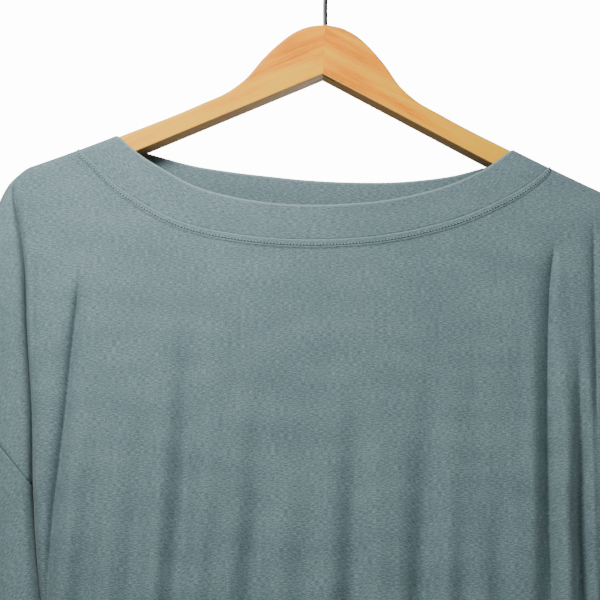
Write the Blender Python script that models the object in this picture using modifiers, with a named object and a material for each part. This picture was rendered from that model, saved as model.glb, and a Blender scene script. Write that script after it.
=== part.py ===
"""Batwing crop top with a boat neckband, hung on a wooden hanger.

Every cloth piece lies on one cloth form. That form gives how far the front or the
back stands off the middle plane, for any place across and any drop below the wood.
"""

import math

import bmesh
import bpy
import numpy as np

# All sizes below are millimetres. "Out" is measured from the hook line, "drop" down from
# the top of the wood. The middle plane of the hanger is y = 0, and the front faces -y.
MM = 0.001

# Hanger
HOOK_WIRE = 3.0
HOOK_INSIDE_RADIUS = 18.0
HOOK_TO_WOOD = 66.0
HOOK_START_ANGLE = -62.0
HOOK_OPEN_ANGLE = 205.0
HOOK_NECK_BEND = 6.0
SHANK_IN_WOOD = 14.0
SHANK_HOLE_RADIUS = 2.4
WOOD_THICKNESS = 16.0
WOOD_HALF_WIDTH = 220.0
WOOD_CENTRE_HEIGHT = 40.0
WOOD_SLOPE = math.radians(26.6)
WOOD_TILT = math.radians(2.85)
WOOD_TIP_LIFT = 4.0
WOOD_LIFT_START = 130.0
WOOD_TIP_ROUND = 13.0
WOOD_TOP_ROUND = 4.0
WOOD_LOW_ROUND = 1.0
MITRE_ROUND = 0.3
MITRE_GAP = 0.3
# Height of an arm above its straight lower edge: out, height
ARM_HEIGHT = (
    (0.0, 41.0),
    (12.0, 45.0),
    (24.0, 45.2),
    (36.0, 40.5),
    (47.0, 33.3),
    (57.0, 24.3),
    (68.0, 19.5),
    (91.0, 17.8),
    (150.0, 18.5),
    (220.0, 18.5),
)

# Cloth
WALL = 1.2
BAND_WALL = 2.0
SEAM_GAP = 0.35
BAND_WIDTH = 27.0
SLEEVE_SEAM_DROP = 0.9
SEAT_GAP = 0.9
ARCH_HALF = 10.4
ARCH_RISE = 8.0
ARCH_SQUARENESS = 2.6
SHOULDER_SEAM_ANGLE = {"left": math.radians(6), "right": math.radians(30)}
EDGE_HALF_GAP = 0.5
SEAM_HALF_TURN = EDGE_HALF_GAP / ARCH_HALF
SEAM_SHIFT_LENGTH = 26.0

# A panel's neck edge, as part of the way down the neckband
PANEL_TOP = 1.0 + SEAM_GAP / BAND_WIDTH

# Half depth of the cloth form
BODY_SWELL = 8.0
BODY_SWELL_LENGTH = 80.0
WING_SWELL = 9.5
WING_SWELL_LENGTH = 20.0
HEM_FLARE = {"front": 4.0, "back": 3.0}
NECK_LEAN = {"front": 8.0, "back": 3.0}
NECK_LEAN_WIDTH = 95.0
NECK_LEAN_DROP = 150.0
NECK_LEAN_LENGTH = 120.0
NECK_LEAN_RAMP = 40.0
CENTRE_BLEND = 30.0

# The shoulder line ends where it starts to turn over the tip of the wood
TIP_OUT = {"left": 222.0, "right": 208.0}
# Outline from there to the sleeve seam and down to the cuff: past the tip, drop below it
OVER_ARM = (
    (8.0, 6.5),
    (14.0, 13.0),
    (18.5, 21.0),
    (22.5, 32.0),
    (29.0, 56.0),
    (39.0, 91.0),
    (49.0, 126.0),
    (58.0, 157.0),
    (66.5, 195.0),
    (73.0, 245.0),
    (76.5, 300.0),
    (78.0, 340.0),
)
CORNER_PAST = 22.5
SEAM_PAST = 58.0
CUFF_PAST = 76.5

# Line where the wing falls away from the body, then the side seam: part of the way from
# the tip to the hem, place past the tip
SIDE_LINE = (
    (0.025, 11.0),
    (0.070, 8.5),
    (0.160, 1.5),
    (0.290, -3.0),
    (0.440, -9.0),
    (0.553, -11.5),
    (0.690, -17.0),
    (0.760, -21.0),
    (1.000, -26.0),
)
SIDE_LINE_GAIN = {"left": 1.0, "right": 0.6}
UNDERARM_PART = 0.553
TIP_TO_HEM = {"left": 432.0, "right": 420.0}
CREASE_START = 0.050
CREASE_FULL = 0.210
CREASE_FLOOR = 1.7
CREASE_WIDTH = 7.0
SIDE_ROUND = 9.0
SPLIT_LENGTH = 25.0
SLEEVE_SIDE_GAP = 1.0
SLEEVE_INNER_LENGTH = 122.0

# Neckband, from the left corner to the right one: out of its top edge, drop of its top
# edge, out of its seam, drop of its seam. None stands for the shoulder line.
NECK_FRONT = (
    (-158.0, None, -185.5, None),
    (-143.0, 102.5, -174.0, 110.5),
    (-126.0, 115.0, -151.0, 133.0),
    (-93.0, 134.0, -108.0, 158.5),
    (-48.0, 146.0, -54.0, 171.5),
    (-3.0, 149.0, -2.0, 174.5),
    (42.0, 145.0, 48.0, 169.5),
    (84.0, 134.0, 96.0, 156.5),
    (113.0, 120.5, 133.0, 139.0),
    (129.0, 109.5, 153.0, 126.0),
    (141.0, None, 167.0, None),
)
NECK_BACK = (
    (-158.0, None, -185.5, None),
    (-148.0, 93.0, -170.0, 107.5),
    (-130.0, 99.0, -146.0, 120.5),
    (-94.0, 108.0, -103.0, 133.0),
    (-46.0, 114.0, -49.0, 139.5),
    (4.0, 118.0, 5.0, 144.0),
    (52.0, 119.0, 57.0, 145.0),
    (92.0, 115.5, 103.0, 140.0),
    (118.0, 109.5, 133.0, 131.5),
    (132.0, 105.5, 154.0, 123.0),
    (141.0, None, 167.0, None),
)

# Folds of the body: drop at the start, x at the start, x at LOW_DROP, depth, half width
LOW_DROP = 433.0
FRONT_FOLDS = (
    (150.0, -216.0, -214.0, 1.5, 5.0),
    (175.0, -180.0, -197.0, 7.0, 6.5),
    (285.0, -161.0, -171.0, 4.0, 8.5),
    (262.0, -129.0, -138.0, 3.6, 9.5),
    (190.0, -94.0, -107.0, 5.6, 9.5),
    (330.0, -78.0, -82.0, 3.4, 8.5),
    (240.0, -45.0, -52.0, 5.0, 10.5),
    (320.0, -12.0, -17.0, 2.6, 9.0),
    (245.0, 22.0, 17.0, 5.2, 9.5),
    (350.0, 47.0, 43.0, 2.8, 8.0),
    (240.0, 77.0, 67.0, 5.4, 9.5),
    (330.0, 95.0, 95.0, 3.2, 8.0),
    (300.0, 118.0, 120.0, 3.4, 8.5),
    (165.0, 169.0, 158.0, 6.4, 5.5),
    (225.0, 185.0, 179.0, 7.4, 7.0),
    (150.0, 199.0, 195.0, 4.0, 5.0),
)
BACK_FOLDS = (
    (180.0, -200.0, -196.0, 5.0, 6.0),
    (175.0, -176.0, -168.0, 6.4, 7.5),
    (250.0, -142.0, -140.0, 4.4, 9.5),
    (215.0, -104.0, -111.0, 5.6, 10.0),
    (300.0, -76.0, -82.0, 3.6, 8.5),
    (235.0, -38.0, -46.0, 5.4, 10.5),
    (290.0, -8.0, -12.0, 3.4, 9.5),
    (225.0, 33.0, 28.0, 5.8, 10.5),
    (310.0, 60.0, 60.0, 3.2, 8.5),
    (240.0, 92.0, 90.0, 5.2, 10.0),
    (270.0, 128.0, 122.0, 4.2, 9.0),
    (185.0, 158.0, 154.0, 6.2, 7.5),
    (190.0, 189.0, 184.0, 5.6, 6.5),
)
FOLD_RAMP = 190.0
HEM_FOLD_GAIN = 1.25
HEM_GAIN_LENGTH = 120.0
RIDGE_PART = 0.42
RIDGE_OFFSET = 1.75

# Folds of a wing and its sleeve: place across from the outer edge (0 to 1) at the top and
# at the cuff, depth, half width as part of the way across
WING_FOLDS = {
    "front": ((0.30, 0.34, 4.2, 0.10), (0.62, 0.66, 5.0, 0.11)),
    "back": ((0.40, 0.36, 4.6, 0.11), (0.70, 0.64, 4.0, 0.10)),
}
WING_FOLD_START = 0.12
WING_FOLD_FULL = 0.45

# How finely each piece is divided
ARCH_STEPS = 4
NECK_MIDDLE_STEPS = 16
SHOULDER_STEPS = 5
UPPER_STEPS = 2
LEVEL_PARTS = (0.20, 0.27, 0.34, 0.41, 0.48, 0.553, 0.62, 0.69, 0.77, 0.85, 0.93, 1.0)
WING_PARTS_TOP = (0.0, 0.08, 0.18, 0.30, 0.42, 0.55, 0.70, 0.87, 1.0)
WING_PARTS_SEAM = (0.0, 0.03, 0.09, 0.22, 0.44, 0.67, 0.86, 0.97, 1.0)
SIDE_COLUMN_OUTS = (0.0, 1.6, 5.0, 10.5)
SLEEVE_DOWN = 6
BAND_ROWS = 3
# Drop over which the columns go from the neck's spacing to an even one
COLUMN_SPREAD = 150.0
# Points closer than this, in metres, are one
MERGE_DISTANCE = 0.00001
# Millimetres within which a point counts as lying on a line
TOUCH = 0.05

CLOTH_COLOUR = (0.19, 0.27, 0.28, 1.0)
WOOD_COLOUR = (0.72, 0.42, 0.16, 1.0)
WIRE_COLOUR = (0.015, 0.015, 0.017, 1.0)

SIDES = {"left": -1.0, "right": 1.0}


def clear_scene():
    """Remove whatever objects the file opened with."""
    for obj in list(bpy.data.objects):
        bpy.data.objects.remove(obj, do_unlink=True)


def make_collection(name):
    collection = bpy.data.collections.new(name)
    bpy.context.scene.collection.children.link(collection)
    return collection


def make_material(name, colour, roughness, metallic=0.0):
    material = bpy.data.materials.new(name)
    material.use_nodes = True
    shader = material.node_tree.nodes["Principled BSDF"]
    shader.inputs["Base Color"].default_value = colour
    shader.inputs["Roughness"].default_value = roughness
    shader.inputs["Metallic"].default_value = metallic
    return material


def smoothstep(value):
    value = np.clip(value, 0.0, 1.0)
    return value * value * (3.0 - 2.0 * value)


def closure(value):
    """Quarter circle from 0 to 1, used where cloth turns over an edge."""
    value = np.clip(value, 0.0, 1.0)
    return np.sqrt(1.0 - (1.0 - value) ** 2)


def arch_closure(value):
    """Fuller than a quarter circle, so that cloth clears the rounded wood."""
    value = np.clip(value, 0.0, 1.0)
    return (1.0 - (1.0 - value) ** ARCH_SQUARENESS) ** (1.0 / ARCH_SQUARENESS)


def smooth_path(stations, values, wanted):
    """Catmull-Rom curve through the values of a table, read at the wanted stations."""
    stations = np.asarray(stations, float)
    values = np.asarray(values, float)
    slopes = np.gradient(values, stations)
    index = np.clip(np.searchsorted(stations, wanted) - 1, 0, len(stations) - 2)
    span = stations[index + 1] - stations[index]
    part = (wanted - stations[index]) / span
    start = values[index] * (1 + 2 * part) * (1 - part) ** 2
    end = values[index + 1] * part ** 2 * (3 - 2 * part)
    bend = slopes[index] * part * (1 - part) ** 2 - slopes[index + 1] * part ** 2 * (1 - part)
    return start + end + bend * span


def arm_lower(out):
    """Drop of an arm's lower edge before the hanger is tilted."""
    past = np.clip((out - WOOD_LIFT_START) / (WOOD_HALF_WIDTH - WOOD_LIFT_START), 0.0, None)
    return WOOD_CENTRE_HEIGHT + math.tan(WOOD_SLOPE) * out - WOOD_TIP_LIFT * past ** 2


def arm_upper(out):
    """Drop of an arm's upper edge before the hanger is tilted."""
    outs = [row[0] for row in ARM_HEIGHT]
    heights = [row[1] for row in ARM_HEIGHT]
    return arm_lower(out) - smooth_path(outs, heights, out)


def tilted(x, drop):
    """Turn a place on the level hanger about the top of the wood, right side down."""
    cos = math.cos(WOOD_TILT)
    sin = math.sin(WOOD_TILT)
    return x * cos - drop * sin, x * sin + drop * cos


def outline(side):
    """Places along the shoulder, over the tip and down the outer edge of the sleeve."""
    sign = SIDES[side]
    along = np.linspace(100.0, WOOD_HALF_WIDTH, 60)
    x, drop = tilted(sign * along, arm_upper(along))
    drop = drop - WALL - SEAT_GAP
    out = sign * x
    tip_out = TIP_OUT[side]
    keep = out < tip_out - 4.0
    tip_drop = np.interp(tip_out, out, drop)
    past = [tip_out + row[0] for row in OVER_ARM]
    below = [tip_drop + row[1] for row in OVER_ARM]
    outs = np.concatenate((out[keep][-3:], [tip_out], past))
    drops = np.concatenate((drop[keep][-3:], [tip_drop], below))
    steps = np.concatenate(([0.0], np.cumsum(np.hypot(np.diff(outs), np.diff(drops)))))
    fine = np.linspace(steps[2], steps[-1], 90)
    past_outs = smooth_path(steps, outs, fine)
    past_drops = smooth_path(steps, drops, fine)
    all_outs = np.concatenate((out[keep][:-1], past_outs))
    all_drops = np.concatenate((drop[keep][:-1], past_drops))
    return all_outs, all_drops, tip_drop


OUTLINES = {side: outline(side) for side in SIDES}


def outline_drop(side, out):
    outs, drops, _ = OUTLINES[side]
    return np.interp(out, outs, drops)


def side_of(x):
    return "left" if x < 0 else "right"


def fraction_below_tip(side, drop):
    return (drop - OUTLINES[side][2]) / TIP_TO_HEM[side]


def drop_at_fraction(side, part):
    return OUTLINES[side][2] + TIP_TO_HEM[side] * part


def side_line_out(side, drop):
    parts = [row[0] for row in SIDE_LINE]
    pasts = [row[1] for row in SIDE_LINE]
    wanted = np.clip(fraction_below_tip(side, drop), parts[0], parts[-1])
    past = smooth_path(parts, pasts, wanted)
    return TIP_OUT[side] + np.where(past < 0, past * SIDE_LINE_GAIN[side], past)


def distance_to_outline(side, out, drop):
    """Shortest distance from each place to the outline of its own side."""
    outs, drops, _ = OUTLINES[side]
    start_x, start_y = outs[:-1], drops[:-1]
    run_x, run_y = np.diff(outs), np.diff(drops)
    length = run_x ** 2 + run_y ** 2
    px = out[..., None] - start_x
    py = drop[..., None] - start_y
    part = np.clip((px * run_x + py * run_y) / length, 0.0, 1.0)
    gap = np.hypot(px - part * run_x, py - part * run_y)
    return gap.min(axis=-1)


def body_folds(face, x, drop):
    """Sum of the soft vertical folds, outward positive."""
    total = np.zeros_like(x)
    table = FRONT_FOLDS if face == "front" else BACK_FOLDS
    for start_drop, start_x, low_x, depth, half_width in table:
        centre = start_x + (low_x - start_x) * (drop - start_drop) / (LOW_DROP - start_drop)
        grown = smoothstep((drop - start_drop) / FOLD_RAMP)
        low = np.clip((drop - LOW_DROP) / HEM_GAIN_LENGTH, 0, 1)
        grown = grown * (1 + (HEM_FOLD_GAIN - 1) * low)
        place = (x - centre) / half_width
        ridges = np.exp(-(place - RIDGE_OFFSET) ** 2) + np.exp(-(place + RIDGE_OFFSET) ** 2)
        total += depth * grown * (RIDGE_PART * ridges - np.exp(-place ** 2))
    return total


def wing_folds(face, side, across, drop):
    total = np.zeros_like(across)
    part = fraction_below_tip(side, drop)
    grown = smoothstep((part - WING_FOLD_START) / (WING_FOLD_FULL - WING_FOLD_START))
    for top_place, cuff_place, depth, half_width in WING_FOLDS[face]:
        centre = top_place + (cuff_place - top_place) * part
        place = (across - centre) / half_width
        total -= depth * grown * np.exp(-place ** 2)
    return total


def crease_floor(part):
    """Half depth at the bottom of the crease between body and wing."""
    open_part = 1.0 - smoothstep((part - CREASE_START) / (CREASE_FULL - CREASE_START))
    return CREASE_FLOOR + (ARCH_HALF - CREASE_FLOOR) * open_part


def side_profile(inward, part, below_split):
    """Rise of the cloth beside the crease, which rounds into an edge below the underarm."""
    valley = 1.0 - np.exp(-(inward / CREASE_WIDTH) ** 2)
    rounded = closure(inward / SIDE_ROUND)
    split = smoothstep(below_split / SPLIT_LENGTH)
    floor = crease_floor(part) * (1 - split) + EDGE_HALF_GAP * split
    return floor, valley * (1 - split) + rounded * split


def body_form(face, side, x, drop):
    """Half depth of the body."""
    sign = SIDES[side]
    out = sign * x
    part = fraction_below_tip(side, drop)
    edge = distance_to_outline(side, out, drop)
    arch = ARCH_HALF * arch_closure(edge / (ARCH_RISE * math.cos(WOOD_SLOPE)))
    swell = BODY_SWELL * (1 - np.exp(-edge / BODY_SWELL_LENGTH))
    lean = NECK_LEAN[face] * np.exp(-(x / NECK_LEAN_WIDTH) ** 2)
    lean = lean * np.exp(-((drop - NECK_LEAN_DROP) / NECK_LEAN_LENGTH) ** 2)
    lean = lean * smoothstep((edge - ARCH_RISE) / NECK_LEAN_RAMP)
    flare = HEM_FLARE[face] * smoothstep(part)
    free = arch + swell + lean + flare + body_folds(face, x, drop)
    inward = np.clip(side_line_out(side, drop) - out, 0.0, None)
    floor, rise = side_profile(inward, part, drop - drop_at_fraction(side, UNDERARM_PART))
    near_tip = np.minimum(arch, floor)
    return near_tip + (free - near_tip) * rise


def wing_form(face, side, x, drop, below_seam):
    """Half depth of a wing, or of its sleeve further down."""
    sign = SIDES[side]
    out = sign * x
    part = fraction_below_tip(side, drop)
    edge = distance_to_outline(side, out, drop)
    inner = side_line_out(side, drop) + SLEEVE_SIDE_GAP * smoothstep(below_seam / SPLIT_LENGTH)
    outs, drops, _ = OUTLINES[side]
    width = np.maximum(np.interp(drop, drops, outs) - inner, 1.0)
    across = np.clip(1.0 - (out - inner) / width, 0.0, 1.0)
    arch = ARCH_HALF * arch_closure(edge / (ARCH_RISE * math.cos(WOOD_SLOPE)))
    swell = WING_SWELL * (1 - np.exp(-edge / WING_SWELL_LENGTH))
    free = arch + swell + wing_folds(face, side, across, drop)
    outward = np.clip(out - inner, 0.0, None)
    floor, rise = side_profile(outward, part, below_seam)
    near_tip = np.minimum(arch, floor)
    return near_tip + (free - near_tip) * rise


def to_point(x, drop, y):
    """World place, in metres, of a place on the hanger."""
    return np.stack((x, y, -(HOOK_TO_WOOD + drop)), axis=-1) * MM


def face_sign(face):
    return -1.0 if face == "front" else 1.0


def neck_path(face, lower):
    """Dense path across the neck, from the top edge (0) to the seam (1) or past it."""
    table = NECK_FRONT if face == "front" else NECK_BACK
    rows = []
    for top_x, top_drop, seam_x, seam_drop in table:
        if top_drop is None:
            top_drop = float(outline_drop(side_of(top_x), abs(top_x)))
            seam_drop = float(outline_drop(side_of(seam_x), abs(seam_x)))
        rows.append((top_x, top_drop, seam_x, seam_drop))
    columns = np.array(rows).T
    stations = np.arange(len(rows), dtype=float)
    fine = np.linspace(0.0, stations[-1], 1001)
    top_x, top_drop, seam_x, seam_drop = [smooth_path(stations, c, fine) for c in columns]
    x = top_x + (seam_x - top_x) * lower
    drop = top_drop + (seam_drop - top_drop) * lower
    left = outline_drop("left", -x)
    right = outline_drop("right", x)
    ridge = np.where(x < 0, left, right)
    drop[0] = ridge[0]
    drop[-1] = ridge[-1]
    return x, drop, np.maximum(drop - ridge, 0.0)


def arch_offsets(steps):
    """Drops below the shoulder line at even turns over the arm."""
    turns = np.linspace(0.0, math.pi / 2, steps + 1)
    return ARCH_RISE * (1.0 - np.cos(turns))


def neck_samples(face, lower):
    """Places across the neck: close together where the cloth turns over an arm."""
    x, drop, below = neck_path(face, lower)
    half = len(x) // 2
    offsets = arch_offsets(ARCH_STEPS)
    left = np.interp(offsets, np.maximum.accumulate(below[:half]), np.arange(half))
    right_below = np.maximum.accumulate(below[::-1][:half])
    right = len(x) - 1 - np.interp(offsets, right_below, np.arange(half))
    length = np.concatenate(([0.0], np.cumsum(np.hypot(np.diff(x), np.diff(drop)))))
    index = np.arange(len(x))
    start = np.interp(left[-1], index, length)
    end = np.interp(right[-1], index, length)
    even = np.linspace(start, end, NECK_MIDDLE_STEPS + 1)[1:-1]
    middle = np.interp(even, length, index)
    picks = np.concatenate((left, middle, right[::-1]))
    return np.interp(picks, index, x), np.interp(picks, index, drop)


def form_at(face, x, drop):
    """Half depth of the body at any place, on either side of the hook line."""
    left = body_form(face, "left", x, drop)
    right = body_form(face, "right", x, drop)
    part = smoothstep((x + CENTRE_BLEND) / (2 * CENTRE_BLEND))
    return left * (1 - part) + right * part


def grid_faces(rows, columns, closed, split_corner):
    """Corner numbers of every face; the outer top corner of a wing is cut into triangles."""
    faces = []
    for row in range(rows - 1):
        for column in range(columns if closed else columns - 1):
            after = (column + 1) % columns
            a = row * columns + column
            b = (row + 1) * columns + column
            c = (row + 1) * columns + after
            d = row * columns + after
            if split_corner and row == 0 and column == columns - 2:
                faces.append((a, b, d))
                faces.append((b, c, d))
            else:
                faces.append((a, b, c, d))
    return faces


def cloth_object(name, patches, material, collection, wall=WALL, offset=-1.0, closed=False):
    """Join grids of points into one open sheet and give it its wall with Solidify."""
    mesh = bpy.data.meshes.new(name)
    bm = bmesh.new()
    for points, flip, split_corner in patches:
        rows, columns, _ = points.shape
        verts = [bm.verts.new(point) for point in points.reshape(-1, 3)]
        for loop in grid_faces(rows, columns, closed, split_corner):
            corners = [verts[i] for i in loop]
            bm.faces.new(corners[::-1] if flip else corners)
    bmesh.ops.remove_doubles(bm, verts=bm.verts, dist=MERGE_DISTANCE)
    bm.to_mesh(mesh)
    bm.free()
    mesh.shade_smooth()
    mesh.materials.append(material)
    obj = bpy.data.objects.new(name, mesh)
    collection.objects.link(obj)
    solidify = obj.modifiers.new("wall", "SOLIDIFY")
    solidify.thickness = wall * MM
    solidify.offset = offset
    solidify.use_even_offset = False
    return obj


def seam_turns(face, side, outs):
    """Turn over the arm at which the shoulder seam lies, for columns along the shoulder."""
    neck_end = abs(NECK_FRONT[0][2] if side == "left" else NECK_FRONT[-1][2])
    angle = SHOULDER_SEAM_ANGLE[side]
    away = smoothstep((outs - neck_end - 1.0) / SEAM_SHIFT_LENGTH)
    fade = 1.0 - smoothstep((outs - TIP_OUT[side]) / SEAM_SHIFT_LENGTH)
    turn = angle * away * fade
    return SEAM_HALF_TURN + (turn if face == "front" else -turn)


def shoulder_columns(face, side):
    """Outs and seam turns of the columns from the tip to the neck corner."""
    neck_end = abs(neck_samples(face, PANEL_TOP)[0][0 if side == "left" else -1])
    top_out = TIP_OUT[side] + SIDE_LINE[0][1]
    outs = np.linspace(top_out, neck_end, SHOULDER_STEPS + 1)[:-1]
    return outs, seam_turns(face, side, outs)


def panel_rows(side_turns, top_drop, x_part):
    """Drops and turns of every row of one column."""
    turns = np.linspace(side_turns, math.pi / 2, ARCH_STEPS + 1)
    arch = top_drop + ARCH_RISE * (1.0 - np.cos(turns))
    tip = [drop_at_fraction(side, 0.0) for side in SIDES]
    hem = [TIP_TO_HEM[side] for side in SIDES]
    levels = []
    for part in LEVEL_PARTS:
        left = tip[0] + hem[0] * part
        right = tip[1] + hem[1] * part
        levels.append(left + (right - left) * x_part)
    between = np.linspace(arch[-1], levels[0], UPPER_STEPS + 2)[1:-1]
    return np.concatenate((arch, between, levels)), turns


def body_patch(face):
    """Grid of points of the panel between its two side lines."""
    left_outs, left_turns = shoulder_columns(face, "left")
    right_outs, right_turns = shoulder_columns(face, "right")
    neck_x, neck_drop = neck_samples(face, PANEL_TOP)
    top_x = np.concatenate((-left_outs, neck_x, right_outs[::-1]))
    left_drop = outline_drop("left", left_outs)
    right_drop = outline_drop("right", right_outs[::-1])
    top_drop = np.concatenate((left_drop, neck_drop, right_drop))
    turns = np.concatenate((left_turns, np.zeros(len(neck_x)), right_turns[::-1]))
    count = len(top_x)
    near = np.array(SIDE_COLUMN_OUTS) / (top_x[-1] - top_x[0])
    middle = np.linspace(near[-1], 1.0 - near[-1], count - 2 * len(near) + 2)
    even = np.concatenate((near[:-1], middle, 1.0 - near[:-1][::-1]))
    top_part = (top_x - top_x[0]) / (top_x[-1] - top_x[0])
    columns = []
    for index in range(count):
        drops, arch_turns = panel_rows(turns[index], top_drop[index], top_part[index])
        down = smoothstep((drops - drops[0]) / COLUMN_SPREAD)
        part = top_part[index] * (1 - down) + even[index] * down
        left = -side_line_out("left", drops)
        right = side_line_out("right", drops)
        x = left + (right - left) * part
        x[: ARCH_STEPS + 1] = top_x[index]
        if index == 0:
            x = np.where(np.arange(len(x)) == 0, top_x[0], left)
        if index == count - 1:
            x = np.where(np.arange(len(x)) == 0, top_x[-1], right)
        half = np.maximum(form_at(face, x, drops), EDGE_HALF_GAP)
        over = np.ones(len(drops))
        over[: ARCH_STEPS + 1] = np.where(arch_turns < -1e-6, -1.0, 1.0)
        columns.append(to_point(x, drops, face_sign(face) * half * over))
    return np.stack(columns, axis=1)


def wing_patch(face, side, body):
    """Grid of points of a wing, from the crease outward to the over-arm edge."""
    sign = SIDES[side]
    outs, drops, _ = OUTLINES[side]
    split_row = ARCH_STEPS + 1 + UPPER_STEPS + LEVEL_PARTS.index(UNDERARM_PART)
    crease = body[: split_row + 1, 0 if side == "left" else -1]
    inner_out = sign * crease[:, 0] / MM
    inner_drop = -crease[:, 2] / MM - HOOK_TO_WOOD
    corner_out = TIP_OUT[side] + CORNER_PAST
    down = np.linspace(0.0, 1.0, split_row + 1)
    ends = outline_drop(side, np.array((corner_out, TIP_OUT[side] + SEAM_PAST)))
    outer_drop = ends[0] + (ends[1] - ends[0]) * down
    outer_out = np.interp(outer_drop, drops, outs)
    across = np.array(WING_PARTS_TOP) + np.outer(down, np.subtract(WING_PARTS_SEAM, WING_PARTS_TOP))
    out = inner_out[:, None] + (outer_out - inner_out)[:, None] * across
    drop = inner_drop[:, None] + (outer_drop - inner_drop)[:, None] * across
    bulge = outline_drop(side, out[0]) - drop[0]
    drop = drop + bulge[None, :] * (1 - down[:, None]) ** 3
    half = wing_form(face, side, sign * out, drop, np.full(out.shape, -1.0))
    half = np.maximum(half, EDGE_HALF_GAP)
    points = to_point(sign * out, drop, face_sign(face) * half)
    points[:, 0] = crease
    return points


def make_panel(face, material, collection):
    body = body_patch(face)
    flip = face == "back"
    patches = [(body, flip, False)]
    for side in SIDES:
        wing = wing_patch(face, side, body)
        patches.append((wing, flip if side == "right" else not flip, True))
    return cloth_object(face + "_panel", patches, material, collection)


def make_neckband(material, collection):
    """Ring of doubled cloth between the neck opening and the panels."""
    rows = []
    for row in range(BAND_ROWS + 1):
        lower = row / BAND_ROWS
        ring = []
        for face in ("front", "back"):
            x, drop = neck_samples(face, lower)
            half = form_at(face, x, drop)
            half[0] = 0.0
            half[-1] = 0.0
            points = to_point(x, drop, face_sign(face) * half)
            ring.append(points if face == "front" else points[::-1][1:-1])
        rows.append(np.concatenate(ring))
    share = 2.0 * (BAND_WALL - WALL) / BAND_WALL - 1.0
    patches = [(np.stack(rows), False, False)]
    return cloth_object("neckband", patches, material, collection, BAND_WALL, share, True)


def make_sleeve(side, material, collection):
    """Tube from the slanted sleeve seam down to the open cuff."""
    sign = SIDES[side]
    outs, drops, _ = OUTLINES[side]
    split_drop = drop_at_fraction(side, UNDERARM_PART)
    seam_drop = float(outline_drop(side, TIP_OUT[side] + SEAM_PAST))
    cuff_outer_drop = float(outline_drop(side, TIP_OUT[side] + CUFF_PAST))
    cuff_inner_drop = split_drop + SLEEVE_INNER_LENGTH
    inner_drops = np.linspace(split_drop + SLEEVE_SEAM_DROP, cuff_inner_drop, SLEEVE_DOWN + 1)
    outer_drops = np.linspace(seam_drop + SLEEVE_SEAM_DROP, cuff_outer_drop, SLEEVE_DOWN + 1)
    across = np.array(WING_PARTS_SEAM)
    rows = []
    for inner_drop, outer_drop in zip(inner_drops, outer_drops):
        inner_out = side_line_out(side, inner_drop) + SLEEVE_SIDE_GAP
        outer_out = np.interp(outer_drop, drops, outs)
        out = inner_out + (outer_out - inner_out) * across
        drop = inner_drop + (outer_drop - inner_drop) * across
        below = np.full(out.shape, max(inner_drop - split_drop, 0.0))
        ring = []
        for face in ("front", "back"):
            half = wing_form(face, side, sign * out, drop, below)
            half[0] = 0.0
            half[-1] = 0.0
            points = to_point(sign * out, drop, face_sign(face) * half)
            ring.append(points if face == "front" else points[::-1][1:-1])
        rows.append(np.concatenate(ring))
    patches = [(np.stack(rows), side == "left", False)]
    return cloth_object("sleeve_" + side, patches, material, collection, closed=True)


def hole_cutter(collection):
    """Upright cylinder that makes room for the hook's shank in both arms."""
    mesh = bpy.data.meshes.new("shank_hole")
    bm = bmesh.new()
    bmesh.ops.create_cone(
        bm,
        cap_ends=True,
        segments=12,
        radius1=SHANK_HOLE_RADIUS * MM,
        radius2=SHANK_HOLE_RADIUS * MM,
        depth=2 * (SHANK_IN_WOOD + 1.0) * MM,
    )
    bm.to_mesh(mesh)
    bm.free()
    cutter = bpy.data.objects.new("shank_hole", mesh)
    cutter.location = (0.0, 0.0, -HOOK_TO_WOOD * MM)
    cutter.hide_render = True
    cutter.display_type = "WIRE"
    collection.objects.link(cutter)
    return cutter


def arm_outline():
    """Outline of the right arm on a level hanger: x outward, z up, top of the wood at 0."""
    along = np.concatenate((np.linspace(MITRE_GAP / 2, 80.0, 17), np.linspace(95.0, 200.0, 6)))
    end = WOOD_HALF_WIDTH - WOOD_TIP_ROUND
    centre_drop = (arm_upper(end) + arm_lower(end)) / 2
    tall = (arm_lower(end) - arm_upper(end)) / 2
    turns = np.linspace(0.0, math.pi, 9)
    upper = [(out, -arm_upper(out)) for out in along]
    tip = []
    for turn in turns:
        past = WOOD_TIP_ROUND * math.sin(turn)
        fall = arm_lower(end + past) - arm_lower(end)
        tip.append((end + past, -centre_drop - fall + tall * math.cos(turn)))
    lower_outs = (200.0, 175.0, 150.0, WOOD_LIFT_START, MITRE_GAP / 2)
    lower = [(out, -arm_lower(out)) for out in lower_outs]
    return upper + tip + lower


def weigh_edges(bm):
    """Mark each long edge of an arm with its rounding, as part of the largest one."""
    weight = bm.edges.layers.float.new("bevel_weight_edge")
    for edge in bm.edges:
        ends = [(abs(v.co.x) / MM, v.co.y / MM) for v in edge.verts]
        if abs(edge.verts[0].co.z - edge.verts[1].co.z) > MM:
            continue
        if max(out for out, _ in ends) < MITRE_GAP:
            edge[weight] = MITRE_ROUND / WOOD_TOP_ROUND
        elif all(height < TOUCH - arm_lower(out) for out, height in ends):
            edge[weight] = WOOD_LOW_ROUND / WOOD_TOP_ROUND
        else:
            edge[weight] = 1.0


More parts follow.
